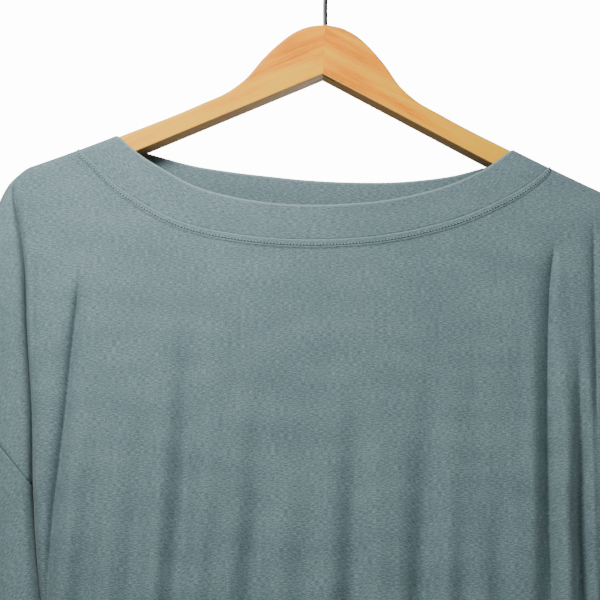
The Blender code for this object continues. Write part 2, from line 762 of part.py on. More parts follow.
def make_arm(side, cutter, material, collection):
    """One arm of the hanger: a flat outline with rounded long edges."""
    sign = SIDES[side]
    curve = bpy.data.curves.new("hanger_arm_" + side, "CURVE")
    curve.dimensions = "2D"
    curve.fill_mode = "BOTH"
    curve.extrude = WOOD_THICKNESS / 2 * MM
    spline = curve.splines.new("POLY")
    points = arm_outline()
    spline.points.add(len(points) - 1)
    for point, (out, height) in zip(spline.points, points):
        point.co = (sign * out * MM, height * MM, 0.0, 1.0)
    spline.use_cyclic_u = True
    guide = bpy.data.objects.new("outline_" + side, curve)
    guide.rotation_euler = (math.pi / 2, 0.0, 0.0)
    collection.objects.link(guide)
    bpy.context.view_layer.update()
    evaluated = guide.evaluated_get(bpy.context.evaluated_depsgraph_get())
    mesh = bpy.data.meshes.new_from_object(evaluated)
    mesh.name = "hanger_arm_" + side
    bm = bmesh.new()
    bm.from_mesh(mesh)
    bmesh.ops.remove_doubles(bm, verts=bm.verts, dist=MERGE_DISTANCE)
    bmesh.ops.dissolve_limit(bm, angle_limit=0.001, verts=bm.verts, edges=bm.edges)
    bmesh.ops.recalc_face_normals(bm, faces=bm.faces)
    weigh_edges(bm)
    bm.to_mesh(mesh)
    bm.free()
    mesh.shade_smooth()
    mesh.set_sharp_from_angle(angle=math.radians(35))
    mesh.materials.clear()
    mesh.materials.append(material)
    arm = bpy.data.objects.new("hanger_arm_" + side, mesh)
    arm.location = (0.0, 0.0, -HOOK_TO_WOOD * MM)
    arm.rotation_euler = (math.pi / 2, WOOD_TILT, 0.0)
    arm.rotation_mode = "XYZ"
    collection.objects.link(arm)
    bpy.data.objects.remove(guide, do_unlink=True)
    rounding = arm.modifiers.new("rounded_edges", "BEVEL")
    rounding.width = WOOD_TOP_ROUND * MM
    rounding.segments = 3
    rounding.limit_method = "WEIGHT"
    rounding.use_clamp_overlap = False
    hole = arm.modifiers.new("shank_hole", "BOOLEAN")
    hole.operation = "DIFFERENCE"
    hole.object = cutter
    return arm


def make_hook(material, collection):
    """Bent wire: straight shank, then the loop that hangs on a rail."""
    radius = HOOK_INSIDE_RADIUS + HOOK_WIRE / 2
    centre = -HOOK_INSIDE_RADIUS
    shank_bottom = -(HOOK_TO_WOOD + SHANK_IN_WOOD)
    points = [(0.0, shank_bottom), (0.0, centre - radius - HOOK_NECK_BEND)]
    points.append((HOOK_NECK_BEND / 4, centre - radius + 1.0))
    turns = np.linspace(math.radians(HOOK_START_ANGLE), math.radians(HOOK_OPEN_ANGLE), 26)
    for turn in turns:
        points.append((radius * math.cos(turn), centre + radius * math.sin(turn)))
    curve = bpy.data.curves.new("hanger_hook", "CURVE")
    curve.dimensions = "3D"
    curve.bevel_depth = HOOK_WIRE / 2 * MM
    curve.bevel_resolution = 2
    curve.use_fill_caps = True
    spline = curve.splines.new("POLY")
    spline.points.add(len(points) - 1)
    for point, (x, z) in zip(spline.points, points):
        point.co = (x * MM, 0.0, z * MM, 1.0)
    spline.use_smooth = True
    curve.materials.append(material)
    hook = bpy.data.objects.new("hanger_hook", curve)
    collection.objects.link(hook)
    return hook


def main():
    clear_scene()
    parts = make_collection("crop_top_on_hanger")
    cutters = make_collection("cutters")
    cloths = {
        name: make_material(name + "_jersey", CLOTH_COLOUR, 0.9)
        for name in ("front", "back", "neckband", "sleeve_left", "sleeve_right")
    }
    wood = {side: make_material("wood_" + side, WOOD_COLOUR, 0.45) for side in SIDES}
    wire = make_material("black_wire", WIRE_COLOUR, 0.35, 1.0)
    make_panel("front", cloths["front"], parts)
    make_panel("back", cloths["back"], parts)
    make_neckband(cloths["neckband"], parts)
    for side in SIDES:
        make_sleeve(side, cloths["sleeve_" + side], parts)
    cutter = hole_cutter(cutters)
    for side in SIDES:
        make_arm(side, cutter, wood[side], parts)
    make_hook(wire, parts)


main()
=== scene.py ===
"""Batwing crop top in melange jersey, hung on a wooden hanger.

Every cloth piece lies on one cloth form, which gives how far the front or the back stands
off the middle plane for any place across and any drop below the wood. The form is the
solid model's own, on a finer grid, with deeper folds, sharp creases, seams and hems.
"""

import math

import bmesh
import bpy
import numpy as np
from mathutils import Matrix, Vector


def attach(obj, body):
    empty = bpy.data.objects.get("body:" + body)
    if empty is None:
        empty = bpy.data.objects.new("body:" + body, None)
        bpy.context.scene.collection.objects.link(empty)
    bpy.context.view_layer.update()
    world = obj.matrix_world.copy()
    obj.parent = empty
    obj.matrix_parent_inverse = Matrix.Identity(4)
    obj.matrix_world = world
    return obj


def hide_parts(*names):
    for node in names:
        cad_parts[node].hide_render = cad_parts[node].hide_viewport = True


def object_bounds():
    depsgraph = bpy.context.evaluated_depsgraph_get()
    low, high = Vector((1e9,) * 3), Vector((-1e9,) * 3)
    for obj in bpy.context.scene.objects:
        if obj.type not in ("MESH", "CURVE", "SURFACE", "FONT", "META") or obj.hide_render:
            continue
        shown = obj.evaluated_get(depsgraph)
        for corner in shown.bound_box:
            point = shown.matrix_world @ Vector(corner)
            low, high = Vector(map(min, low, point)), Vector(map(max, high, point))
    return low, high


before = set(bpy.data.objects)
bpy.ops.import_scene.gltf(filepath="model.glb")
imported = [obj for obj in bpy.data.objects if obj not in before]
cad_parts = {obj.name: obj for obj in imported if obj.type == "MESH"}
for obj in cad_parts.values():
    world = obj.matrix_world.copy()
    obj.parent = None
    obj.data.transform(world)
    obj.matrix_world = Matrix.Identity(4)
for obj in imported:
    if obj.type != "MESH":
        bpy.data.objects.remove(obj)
CAD_BOX = [list(corner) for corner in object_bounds()]

bl_info = {
    "name": "Crop top on a hanger",
    "version": (1, 0, 0),
    "blender": (4, 5, 0),
    "location": "View3D > Sidebar > Crop top",
    "description": "Batwing jersey crop top with a boat neckband, on a wooden hanger",
    "category": "Add Mesh",
}

# Sizes in this block are millimetres. "Out" is measured from the hook line, "drop" down
# from the top of the wood. The middle plane of the hanger is y = 0; the front faces -y.
MM = 0.001
SIDES = {"left": -1.0, "right": 1.0}
FACES = {"front": -1.0, "back": 1.0}

HOOK_INSIDE_RADIUS = 18.0
HOOK_TO_WOOD = 66.0
HOOK_START_ANGLE = -62.0
HOOK_OPEN_ANGLE = 205.0
HOOK_NECK_BEND = 6.0
HOOK_NECK_RISE = 1.0
HOOK_BEND_POINTS = 40
HOOK_PATH_POINTS = 200
WIRE_BEVEL_STEPS = 5
SHANK_IN_WOOD = 14.0
WOOD_THICKNESS = 16.0
WOOD_HALF_WIDTH = 220.0
WOOD_CENTRE_HEIGHT = 40.0
WOOD_SLOPE = math.radians(26.6)
WOOD_TILT = math.radians(2.85)
WOOD_TIP_LIFT = 4.0
WOOD_LIFT_START = 130.0
WOOD_TIP_ROUND = 13.0
MITRE_GAP = -0.04
MITRE_ROUND = 0.16
ARM_STATIONS = 110
FIRST_STATION = 0.4
ROUND_LIMIT = 0.48
ROUND_POINTS = 7
TIP_SECTIONS = 11
TIP_HALF_HEIGHT = 0.3
TIP_THINNING = 0.38
SHARP_ANGLE = math.radians(40)
SUPPORT_ROW = 0.3
# Key let into the underside of both arms: length on each arm, place from front to back,
# how far it stands proud, its depth, and the dark plate of painted shadow in the slot beside it
KEY_LENGTH = 9.0
KEY_REACH = (-4.2, 1.2)
KEY_PROUD = 0.12
KEY_DEPTH = 0.8
SLOT_SHADOW_PROUD = 0.04
SLOT_SHADOW_REACH = {"left": (1.0, 2.5), "right": (-5.6, -4.0)}
# Height of an arm above its straight lower edge: out, height
ARM_HEIGHT = (
    (0, 41), (12, 45), (24, 45.2), (36, 40.5), (47, 33.3), (57, 24.3), (68, 19.5), (91, 17.8),
    (150, 18.5), (220, 18.5),
)

SEAT_ABOVE_WOOD = 2.1
BAND_OUTER = -0.1
BAND_DEPTH = 2.0
ARCH_HALF = 10.4
ARCH_RISE = 8.0
ARCH_SQUARENESS = 2.6
SHOULDER_SEAM_ANGLE = {"left": math.radians(6), "right": math.radians(30)}
SEAM_SHIFT_LENGTH = 26.0

BODY_SWELL = 8.0
BODY_SWELL_LENGTH = 80.0
WING_SWELL = 9.5
WING_SWELL_LENGTH = 20.0
HEM_FLARE = {"front": 4.0, "back": 3.0}
NECK_LEAN = {"front": 8.0, "back": 3.0}
NECK_LEAN_WIDTH = 95.0
NECK_LEAN_DROP = 150.0
NECK_LEAN_LENGTH = 120.0
NECK_LEAN_RAMP = 40.0
CENTRE_BLEND = 30.0

TIP_OUT = {"left": 222.0, "right": 208.0}
# Outline along the shoulder: where it starts, its points, and where it leaves the wood
OUTLINE_START = 100.0
SHOULDER_POINTS = 60
OVER_ARM_POINTS = 90
LEAVES_BEFORE_TIP = 4.0
# Outline from the tip to the sleeve seam and down to the cuff: past the tip, drop below it
OVER_ARM = (
    (8, 6.5), (14, 13), (18.5, 21), (22.5, 32), (29, 56), (39, 91), (49, 126), (58, 157),
    (66.5, 195), (73, 245), (76.5, 300), (78, 340),
)
CORNER_PAST = 22.5
SEAM_PAST = 58.0
CUFF_PAST = 76.5
# Line where the wing falls away from the body: part of the way to the hem, past the tip
SIDE_LINE = (
    (0.025, 11), (0.070, 8.5), (0.160, 1.5), (0.290, -3), (0.440, -9), (0.553, -11.5),
    (0.690, -17), (0.760, -21), (1.000, -26),
)
SIDE_LINE_GAIN = {"left": 1.0, "right": 0.6}
UNDERARM_PART = 0.553
TIP_TO_HEM = {"left": 432.0, "right": 420.0}
CREASE_START = 0.030
CREASE_FULL = 0.150
CREASE_FLOOR = 1.2
CREASE_WIDTH = {"body": 7.0, "wing": 2.0}
WALL_WIDTH = {"body": 3.0, "wing": 1.2}
WALL_PART = 0.6
SIDE_ROUND = {"body": 14.0, "wing": 7.0}
SPLIT_LENGTH = 25.0
SLEEVE_SIDE_GAP = -0.4
SLEEVE_INNER_LENGTH = 122.0

# Neckband from the left corner to the right one: out of its top edge, drop of its top
# edge, out of its seam, drop of its seam. None stands for the shoulder line.
NECK = {
    "front": (
        (-158, None, -185.5, None), (-143, 102.5, -174, 110.5), (-126, 115, -151, 133),
        (-93, 134, -108, 158.5), (-48, 146, -54, 171.5), (-3, 149, -2, 174.5),
        (42, 145, 48, 169.5), (84, 134, 96, 156.5), (113, 120.5, 133, 139),
        (129, 109.5, 153, 126), (141, None, 167, None),
    ),
    "back": (
        (-158, None, -185.5, None), (-148, 93, -170, 107.5), (-130, 99, -146, 120.5),
        (-94, 108, -103, 133), (-46, 114, -49, 139.5), (4, 118, 5, 144), (52, 119, 57, 145),
        (92, 115.5, 103, 140), (118, 109.5, 133, 131.5), (132, 105.5, 154, 123),
        (141, None, 167, None),
    ),
}

# Folds of the body: drop at the start, x at the start, x at LOW_DROP, depth, half width
LOW_DROP = 433.0
FOLDS = {
    "front": (
        (150, -216, -214, 1.5, 5), (175, -180, -197, 2.6, 7.5), (285, -161, -171, 4, 8.5),
        (262, -129, -138, 3.6, 9.5), (190, -94, -107, 5.6, 9.5), (330, -78, -82, 3.4, 8.5),
        (240, -45, -52, 5, 10.5), (320, -12, -17, 2.6, 9), (245, 22, 17, 5.2, 9.5),
        (350, 47, 43, 2.8, 8), (240, 77, 67, 5.4, 9.5), (330, 95, 95, 3.2, 8),
        (300, 118, 120, 3.4, 8.5), (165, 165, 155, 3.2, 7), (225, 185, 179, 5.6, 6.6),
        (150, 199, 195, 2.2, 5),
    ),
    "back": (
        (180, -200, -196, 5, 6), (175, -176, -168, 6.4, 7.5), (250, -142, -140, 4.4, 9.5),
        (215, -104, -111, 5.6, 10), (300, -76, -82, 3.6, 8.5), (235, -38, -46, 5.4, 10.5),
        (290, -8, -12, 3.4, 9.5), (225, 33, 28, 5.8, 10.5), (310, 60, 60, 3.2, 8.5),
        (240, 92, 90, 5.2, 10), (270, 128, 122, 4.2, 9), (185, 158, 154, 6.2, 7.5),
        (190, 189, 184, 5.6, 6.5),
    ),
}
FOLD_RAMP = 190.0
HEM_FOLD_GAIN = 1.25
HEM_GAIN_LENGTH = 120.0
RIDGE_PART = 0.42
FOLD_GAIN = 1.45
SHARP_END = 60.0
CREASE_REACH = 11.0
CREASE_PULL = 0.62
RIDGE_OFFSET = 1.75
# How a fold's middle strays from a straight line: by how much, length of a wave, noise seed
FOLD_WANDER = (1.6, 46.0, 3)
CREASE_WANDER = (1.2, 30.0, 5)
# Part of a soft crease over which it grows, and where it starts to fade
CREASE_GROWS = 0.35
CREASE_FADES = 0.7
SHARP_FADE = 0.6
# Unevenness of hung cloth: height, length of a wave across and down, place in the noise
UNEVENNESS = ((0.55, 21.0, 95.0, 7.0, 3.0), (0.16, 9.0, 34.0, 1.0, 5.0))
UNEVEN_SEED = {"front": 11, "back": 23}
LATTICE = 64

# Soft creases that the solid model lacks: drop at the start and end, x at the start and
# end, depth, half width
CREASES = {
    "front": (
        (128, 330, -203, -205, 1.1, 4.5), (136, 250, -190, -193, 0.7, 5.5),
        (200, 470, -147, -153, 1, 6), (210, 520, -66, -72, 0.9, 7), (225, 540, -27, -36, 1, 8),
        (205, 500, 4, 0, 0.8, 8), (215, 520, 58, 55, 0.9, 7.5), (190, 480, 108, 106, 0.9, 6.5),
        (175, 520, 142, 138, 1.1, 5.5), (150, 300, 176, 174, 0.9, 4.5),
    ),
    "back": (
        (140, 330, -188, -184, 1.1, 5), (170, 480, -158, -156, 1, 6.5),
        (190, 500, -124, -126, 0.9, 7), (200, 520, -60, -64, 1, 8),
        (210, 520, 12, 10, 0.9, 8.5), (190, 480, 46, 44, 0.8, 6.5), (180, 500, 110, 106, 1, 7),
        (150, 330, 172, 170, 1.1, 5),
    ),
}

# Sharp creases that the solid model lacks: places down them as drop and x, depth,
# half width on the left and on the right, length over which they deepen
SHARP_CREASES = {
    "front": (
        (((191, -179.6), (241.7, -184.2), (305.2, -188.9), (371.4, -194.4), (433.9, -197)),
         8, 2, 4, 40),
        (((145, -216.5), (180, -215), (213.5, -214), (260, -211.5)), 1.6, 3, 3.5, 30),
        (((170, 168.4), (195, 164.6), (241.7, 160.9), (307.4, 158.1), (411.8, 157.2),
          (500, 160)), 6.5, 6, 1.8, 26),
        (((235, 183.8), (411.8, 177.7), (500, 175)), 5, 3.6, 3, 60),
        (((152, 197), (230, 195), (317.4, 192.3), (400, 190)), 3.6, 2.6, 2.2, 30),
    ),
    "back": (
        (((180, -178), (240, -175), (330, -171), (440, -168)), 4, 2.6, 4.6, 30),
        (((150, -205), (230, -202), (330, -200)), 2.6, 3, 2.6, 34),
        (((172, 156), (240, 158), (330, 156), (450, 152)), 4.4, 2.4, 5.4, 28),
        (((196, 189), (300, 186), (430, 184)), 3.4, 3.4, 2.8, 50),
    ),
}

# Folds of a wing and its sleeve: place across from the outer edge (0 to 1) at the top and
# at the cuff, depth, half width as part of the way across
WING_FOLDS = {
    "front": ((0.30, 0.34, 4.2, 0.10), (0.62, 0.66, 5.0, 0.11), (0.14, 0.16, 1.2, 0.06)),
    "back": ((0.40, 0.36, 4.6, 0.11), (0.70, 0.64, 4.0, 0.10), (0.18, 0.20, 1.2, 0.06)),
}
WING_FOLD_START = 0.12
WING_FOLD_FULL = 0.45

# Seams: the ditch at a seam, and the allowance that lies under the cloth beside it
DITCH_DEPTH = 0.25
DITCH_WIDTH = 0.45
ALLOWANCE_RISE = 0.85
ALLOWANCE_START = 0.75
ALLOWANCE_END = 7.4
ALLOWANCE_EDGE = 2.0
STITCH_PINCH = 0.55
# Length of a dark dot of painted shade between stitches, as part of the pitch
SHADE_DOT_PART = 0.34
NECK_ROW_SHORT = 4
NECK_END_COLUMNS = 4.0
STITCH_PINCH_WIDTH = 0.5
# Painted highlight on the jersey along the rolled edge at the neck seam and along the neckband's
# fold: its width in mm, and how much of its colour shows
CLOTH_HIGHLIGHT_WIDTH = 0.4
CLOTH_HIGHLIGHT_SHARE = 0.55
SHOULDER_PROUD = 0.5
HEM_LAYER = 0.35
HEM_LAYER_FADE = 1.5
HEM_STITCH_INSET = 2.0
FOLD_GAP = 0.15
# How far a stitch stands on the cloth, as part of the thread's width
STITCH_LIFT = 0.18
# How far a stitch turns at random about each axis, in radians
STITCH_JITTER = (0.05, 0.10, 0.05)
STITCH_SEED = 7
# Weave coordinates: how much depth counts as drop, and height of a row inside a hem
UV_DEPTH_PART = 0.35
UV_LEAF_STEP = 0.0016

# How finely each piece is divided. TOP_ROWS are the rows below a panel's top edge, close
# together at the seam and at the stitches.
TOP_ROWS = (
    0.0, 0.1, 0.35, 0.7, 1.1, 1.6, 2.3, 3.2, 3.9, 4.3, 4.6, 4.85, 5.1, 5.4, 5.8, 6.3,
    6.9, 7.4, 8.0,
)
ARCH_STEPS = len(TOP_ROWS) - 1
ARCH_TURNS = np.arccos(1.0 - np.array(TOP_ROWS) / ARCH_RISE)
NECK_PATH_POINTS = 1001
NECK_MIDDLE_STEPS = 150
SHOULDER_STEPS = 26
UPPER_STEPS = 22
LEVELS_ABOVE_UNDERARM = 52
LEVELS_BELOW_UNDERARM = 50
FIRST_LEVEL_PART = 0.20
WING_STEPS = 34
WING_EASE = 0.6
WING_NEAR = (0.0, 0.005, 0.012, 0.021, 0.033, 0.048)
WING_NEAR_GAP = 0.012
SIDE_COLUMN_OUTS = (0.0, 0.35, 0.9, 1.7, 2.7, 4.0, 5.5, 7.5, 10.0, 13.0)
SLEEVE_ROWS = 42
SLEEVE_NEAR = (0.0, 0.004, 0.009, 0.016, 0.026)
SLEEVE_EVEN_START = 0.04
BAND_LEAF_ROWS = 20
BAND_LEAF_START = 0.9
BAND_SEAM_PARTS = (1.0, 0.988, 0.974, 0.955, 0.925)
COLUMN_SPREAD = 150.0
FOLD_OVER_STEPS = 6
LEAF_ROWS = 8
MERGE_DISTANCE = 0.00001

# The wood grows paler along an arm: from and to, in metres out, and by how much
PALER_FROM = 0.025
PALER_TO = 0.105
PALER = 0.12

# How much of the painted highlight along the lower edges shows: how far down the wood faces, part
WOOD_EDGE_HIGHLIGHT = ((0.12, 0.0), (0.30, 1.0), (0.80, 1.0), (0.93, 0.0))
# How much of the darker underside colour shows, painted shade and grime: how far down the wood
# faces, part
UNDERSIDE_SHADE_AND_GRIME = ((0.72, 0.0), (0.86, 1.0))

# Grain of the cloth: turn of the knitted rows on a wing and a sleeve
WING_GRAIN = math.radians(40.0)

# Noise of a surface: size of a feature in metres, detail, roughness, distortion, weight
JERSEY_TONES = (
    ((0.0031, 0.00056, 1.0), 2.0, 0.5, 0.0, 0.60),
    ((0.0011, 0.00045, 1.0), 1.0, 0.5, 0.0, 0.30),
    ((0.050, 0.020, 1.0), 1.0, 0.5, 0.0, 0.10),
)
JERSEY_STOPS = (0.39, 0.50, 0.62)
WOOD_TONES = (
    ((0.16, 0.030, 0.011), 3.0, 0.55, 0.6, 0.46),
    ((0.045, 0.0020, 0.0009), 3.0, 0.6, 0.0, 0.26),
    ((0.0050, 0.0012, 0.0006), 1.0, 0.5, 0.0, 0.12),
    ((0.05, 0.03, 0.03), 1.0, 0.5, 0.0, 0.16),
)
WOOD_STOPS = (0.36, 0.475, 0.60)
THREAD_SHADE = 0.72
# Plain materials: size of the mottle in metres, detail, darker and paler colour, roughness
PLAIN = {
    # Dark dots of painted shade where the thread dives into the cloth
    "needle_hole": ((0.002,) * 3, 1.0, (0.018, 0.028, 0.031), (0.035, 0.052, 0.056), 0.95),
    "slot_shade": ((0.004, 0.001, 0.001), 2.0, (0.012, 0.008, 0.004), (0.03, 0.02, 0.01), 0.9),
    "pale_floor": ((0.4,) * 3, 2.0, (0.86,) * 3, (0.90,) * 3, 0.9),
}

# Stage, in metres: where each light stands, what it points at, its width, its power setting
LIGHTS = {
    "key_light": ((-0.30, -0.50, 0.14), (-0.05, 0.0, -0.25), 0.25, "key_power"),
    "fill_light": ((0.9, -1.0, 0.8), (0.0, 0.0, -0.30), 1.2, "fill_power"),
    "back_light": ((0.8, 1.5, -0.10), (0.0, 0.0, -0.35), 1.0, "back_power"),
}
WHITE = (1.0, 1.0, 1.0, 1.0)
SKY_RISE = (-0.4, 0.6)
CAMERA_PLACE = (-0.0194, -1.2672, -0.5959)
CAMERA_PITCH = math.radians(104.0)
SENSOR_WIDTH = 36.0
CLIP_RANGE = (0.01, 50.0)


def length_field(name, text, default, low, high):
    return bpy.props.FloatProperty(
        name=name, description=text, default=default, min=low, max=high,
        subtype="DISTANCE", unit="LENGTH")


def number_field(name, text, default, low, high, kind="NONE"):
    return bpy.props.FloatProperty(
        name=name, description=text, default=default, min=low, max=high, subtype=kind)


def colour_field(name, text, default):
    return bpy.props.FloatVectorProperty(
        name=name, description=text, default=default, size=3, min=0.0, max=1.0,
        subtype="COLOR")


class CropTopCloth(bpy.types.PropertyGroup):
    """Sizes and colours of the jersey."""

    wall: length_field("Wall", "Thickness of one layer of jersey", 0.0008, 0.0003, 0.002)
    hem_depth: length_field("Hem depth", "Height of the folded hem", 0.020, 0.005, 0.05)
    cuff_depth: length_field("Cuff depth", "Height of the folded cuff", 0.018, 0.005, 0.05)
    dark: colour_field("Dark fibre", "Colour of the darkest streaks", (0.088, 0.138, 0.149))
    body: colour_field("Body colour", "Main colour of the jersey", (0.136, 0.203, 0.217))
    pale: colour_field("Pale fibre", "Colour of the palest streaks", (0.228, 0.318, 0.331))
    # Colour of the painted highlight on the jersey, along the rolled edge at the neck seam and
    # the neckband's fold
    edge: colour_field(
        "Edge colour", "Colour of the jersey where it is folded over an edge",
        (0.300, 0.395, 0.405))


class CropTopStitches(bpy.types.PropertyGroup):
    """Sizes of the sewing thread and its stitches."""

    neck_pitch: length_field(
        "Neck pitch", "Distance from one stitch to the next at the neck", 0.0024, 0.001, 0.006)
    hem_pitch: length_field(
        "Hem pitch", "Distance from one stitch to the next at the hems", 0.0028, 0.001, 0.006)
    length_part: number_field(
        "Stitch length", "Length of a stitch as part of its pitch", 0.66, 0.3, 0.95, "FACTOR")
    thread: length_field("Thread", "Width of the thread", 0.00062, 0.0002, 0.001)
    neck_drop: length_field(
        "Neck row", "Distance from the neck seam to the row of stitches", 0.0048, 0.001, 0.01)
    row_gap: length_field(
        "Row gap", "Distance between the two rows of a hem", 0.0032, 0.001, 0.01)
    colour: colour_field("Thread colour", "Colour of the sewing thread", (0.46, 0.58, 0.585))


class CropTopHanger(bpy.types.PropertyGroup):
    """Sizes and colours of the hanger."""

    wire: length_field("Wire", "Thickness of the hook's wire", 0.0035, 0.001, 0.006)
    top_round: length_field(
        "Top rounding", "Rounding of the upper edges of the wood", 0.0040, 0.0, 0.007)
    low_round: length_field(
        "Lower rounding", "Rounding of the lower edges of the wood", 0.0010, 0.0, 0.007)
    honey: colour_field("Honey wood", "Main colour of the lacquered wood", (1.0, 0.31, 0.0))
    pale: colour_field("Pale wood", "Colour of the palest grain", (1.0, 0.50, 0.014))
    dark: colour_field("Dark wood", "Colour of the darkest grain", (0.60, 0.15, 0.0))
    # Painted highlight along the wood's lower edges
    edge: colour_field(
        "Edge highlight", "Colour of the wood along its lower edges", (1.0, 0.52, 0.10))
    # Painted shade and grime: a darker, greyer colour on faces that point down
    under: colour_field("Underside", "Colour of the bare wood underneath", (0.55, 0.32, 0.13))


class CropTopStage(bpy.types.PropertyGroup):
    """Floor, light and camera."""

    floor_size: length_field("Floor size", "Width of the floor", 8.0, 1.0, 30.0)
    floor_gap: length_field("Floor gap", "Height of the hem above the floor", 0.45, 0.0, 2.0)
    key_power: number_field(
        "Key light", "Power of the main light, in watts", 7.4, 0.0, 500.0)
    fill_power: number_field(
        "Fill light", "Power of the fill light, in watts", 7.5, 0.0, 500.0)
    back_power: number_field(
        "Back light", "Power of the light behind the object, in watts", 15.0, 0.0, 500.0)
    sky: number_field("Sky", "Strength of the even light from above", 0.19, 0.0, 10.0)
    backdrop: number_field(
        "Backdrop", "Brightness of the plain white behind the object", 14.0, 0.0, 30.0)
    focal: number_field(
        "Focal length", "Camera focal length in millimetres", 106.56, 10.0, 400.0)


def settings(group):
    return getattr(bpy.context.scene, "crop_top_" + group)


# The cloth form


def smoothstep(value):
    value = np.clip(value, 0.0, 1.0)
    return value * value * (3.0 - 2.0 * value)


def closure(value):
    """Quarter circle from 0 to 1, used where cloth turns over an edge."""
    value = np.clip(value, 0.0, 1.0)
    return np.sqrt(1.0 - (1.0 - value) ** 2)


def arch_closure(value):
    """Fuller than a quarter circle, so that cloth clears the rounded wood."""
    value = np.clip(value, 0.0, 1.0)
    return (1.0 - (1.0 - value) ** ARCH_SQUARENESS) ** (1.0 / ARCH_SQUARENESS)


def smooth_path(stations, values, wanted):
    """Smooth curve through the values of a table, read at the wanted stations."""
    stations = np.asarray(stations, float)
    values = np.asarray(values, float)
    slopes = np.gradient(values, stations)
    index = np.clip(np.searchsorted(stations, wanted) - 1, 0, len(stations) - 2)
    span = stations[index + 1] - stations[index]
    part = (wanted - stations[index]) / span
    start = values[index] * (1 + 2 * part) * (1 - part) ** 2
    end = values[index + 1] * part ** 2 * (3 - 2 * part)
    bend = slopes[index] * part * (1 - part) ** 2 - slopes[index + 1] * part ** 2 * (1 - part)
    return start + end + bend * span


def soft_noise(x, y, seed):
    """Smooth noise from -1 to 1, on a lattice whose points are one unit apart."""
    lattice = np.random.default_rng(seed).uniform(-1.0, 1.0, (LATTICE, LATTICE))
    column = np.floor(x).astype(int)
    row = np.floor(y).astype(int)
    part_x = smoothstep(x - column)
    part_y = smoothstep(y - row)
    left, right = column % LATTICE, (column + 1) % LATTICE
    upper, lower = row % LATTICE, (row + 1) % LATTICE
    above = lattice[upper, left] * (1 - part_x) + lattice[upper, right] * part_x
    below = lattice[lower, left] * (1 - part_x) + lattice[lower, right] * part_x
    return above * (1 - part_y) + below * part_y


def arm_lower(out):
    """Drop of an arm's lower edge before the hanger is tilted."""
    past = np.clip((out - WOOD_LIFT_START) / (WOOD_HALF_WIDTH - WOOD_LIFT_START), 0.0, None)
    return WOOD_CENTRE_HEIGHT + math.tan(WOOD_SLOPE) * out - WOOD_TIP_LIFT * past ** 2


def arm_upper(out):
    """Drop of an arm's upper edge before the hanger is tilted."""
    outs = [row[0] for row in ARM_HEIGHT]
    heights = [row[1] for row in ARM_HEIGHT]
    return arm_lower(out) - smooth_path(outs, heights, out)


def tilted(x, drop):
    """Turn a place on the level hanger about the top of the wood, right side down."""
    cos = math.cos(WOOD_TILT)
    sin = math.sin(WOOD_TILT)
    return x * cos - drop * sin, x * sin + drop * cos


def outline(side):
    """Places along the shoulder, over the tip and down the outer edge of the sleeve."""
    sign = SIDES[side]
    along = np.linspace(OUTLINE_START, WOOD_HALF_WIDTH, SHOULDER_POINTS)
    x, drop = tilted(sign * along, arm_upper(along))
    drop = drop - SEAT_ABOVE_WOOD
    out = sign * x
    tip_out = TIP_OUT[side]
    keep = out < tip_out - LEAVES_BEFORE_TIP
    tip_drop = np.interp(tip_out, out, drop)
    past = [tip_out + row[0] for row in OVER_ARM]
    below = [tip_drop + row[1] for row in OVER_ARM]
    outs = np.concatenate((out[keep][-3:], [tip_out], past))
    drops = np.concatenate((drop[keep][-3:], [tip_drop], below))
    steps = np.concatenate(([0.0], np.cumsum(np.hypot(np.diff(outs), np.diff(drops)))))
    fine = np.linspace(steps[2], steps[-1], OVER_ARM_POINTS)
    all_outs = np.concatenate((out[keep][:-1], smooth_path(steps, outs, fine)))
    all_drops = np.concatenate((drop[keep][:-1], smooth_path(steps, drops, fine)))
    return all_outs, all_drops, tip_drop


OUTLINES = {side: outline(side) for side in SIDES}


def outline_drop(side, out):
    outs, drops, _ = OUTLINES[side]
    return np.interp(out, outs, drops)


def side_of(x):
    return "left" if x < 0 else "right"


def fraction_below_tip(side, drop):
    return (drop - OUTLINES[side][2]) / TIP_TO_HEM[side]


def drop_at_fraction(side, part):
    return OUTLINES[side][2] + TIP_TO_HEM[side] * part


def side_line_out(side, drop):
    parts = [row[0] for row in SIDE_LINE]
    pasts = [row[1] for row in SIDE_LINE]
    wanted = np.clip(fraction_below_tip(side, drop), parts[0], parts[-1])
    past = smooth_path(parts, pasts, wanted)
    return TIP_OUT[side] + np.where(past < 0, past * SIDE_LINE_GAIN[side], past)


def distance_to_outline(side, out, drop):
    """Shortest distance from each place to the outline of its own side."""
    outs, drops, _ = OUTLINES[side]
    run_x, run_y = np.diff(outs), np.diff(drops)
    px = out[..., None] - outs[:-1]
    py = drop[..., None] - drops[:-1]
    part = np.clip((px * run_x + py * run_y) / (run_x ** 2 + run_y ** 2), 0.0, 1.0)
    return np.hypot(px - part * run_x, py - part * run_y).min(axis=-1)


def wander(kind, drop, place):
    """How far the middle of a fold strays from its straight line."""
    reach, wave, seed = kind
    return reach * soft_noise(drop / wave, place, seed)


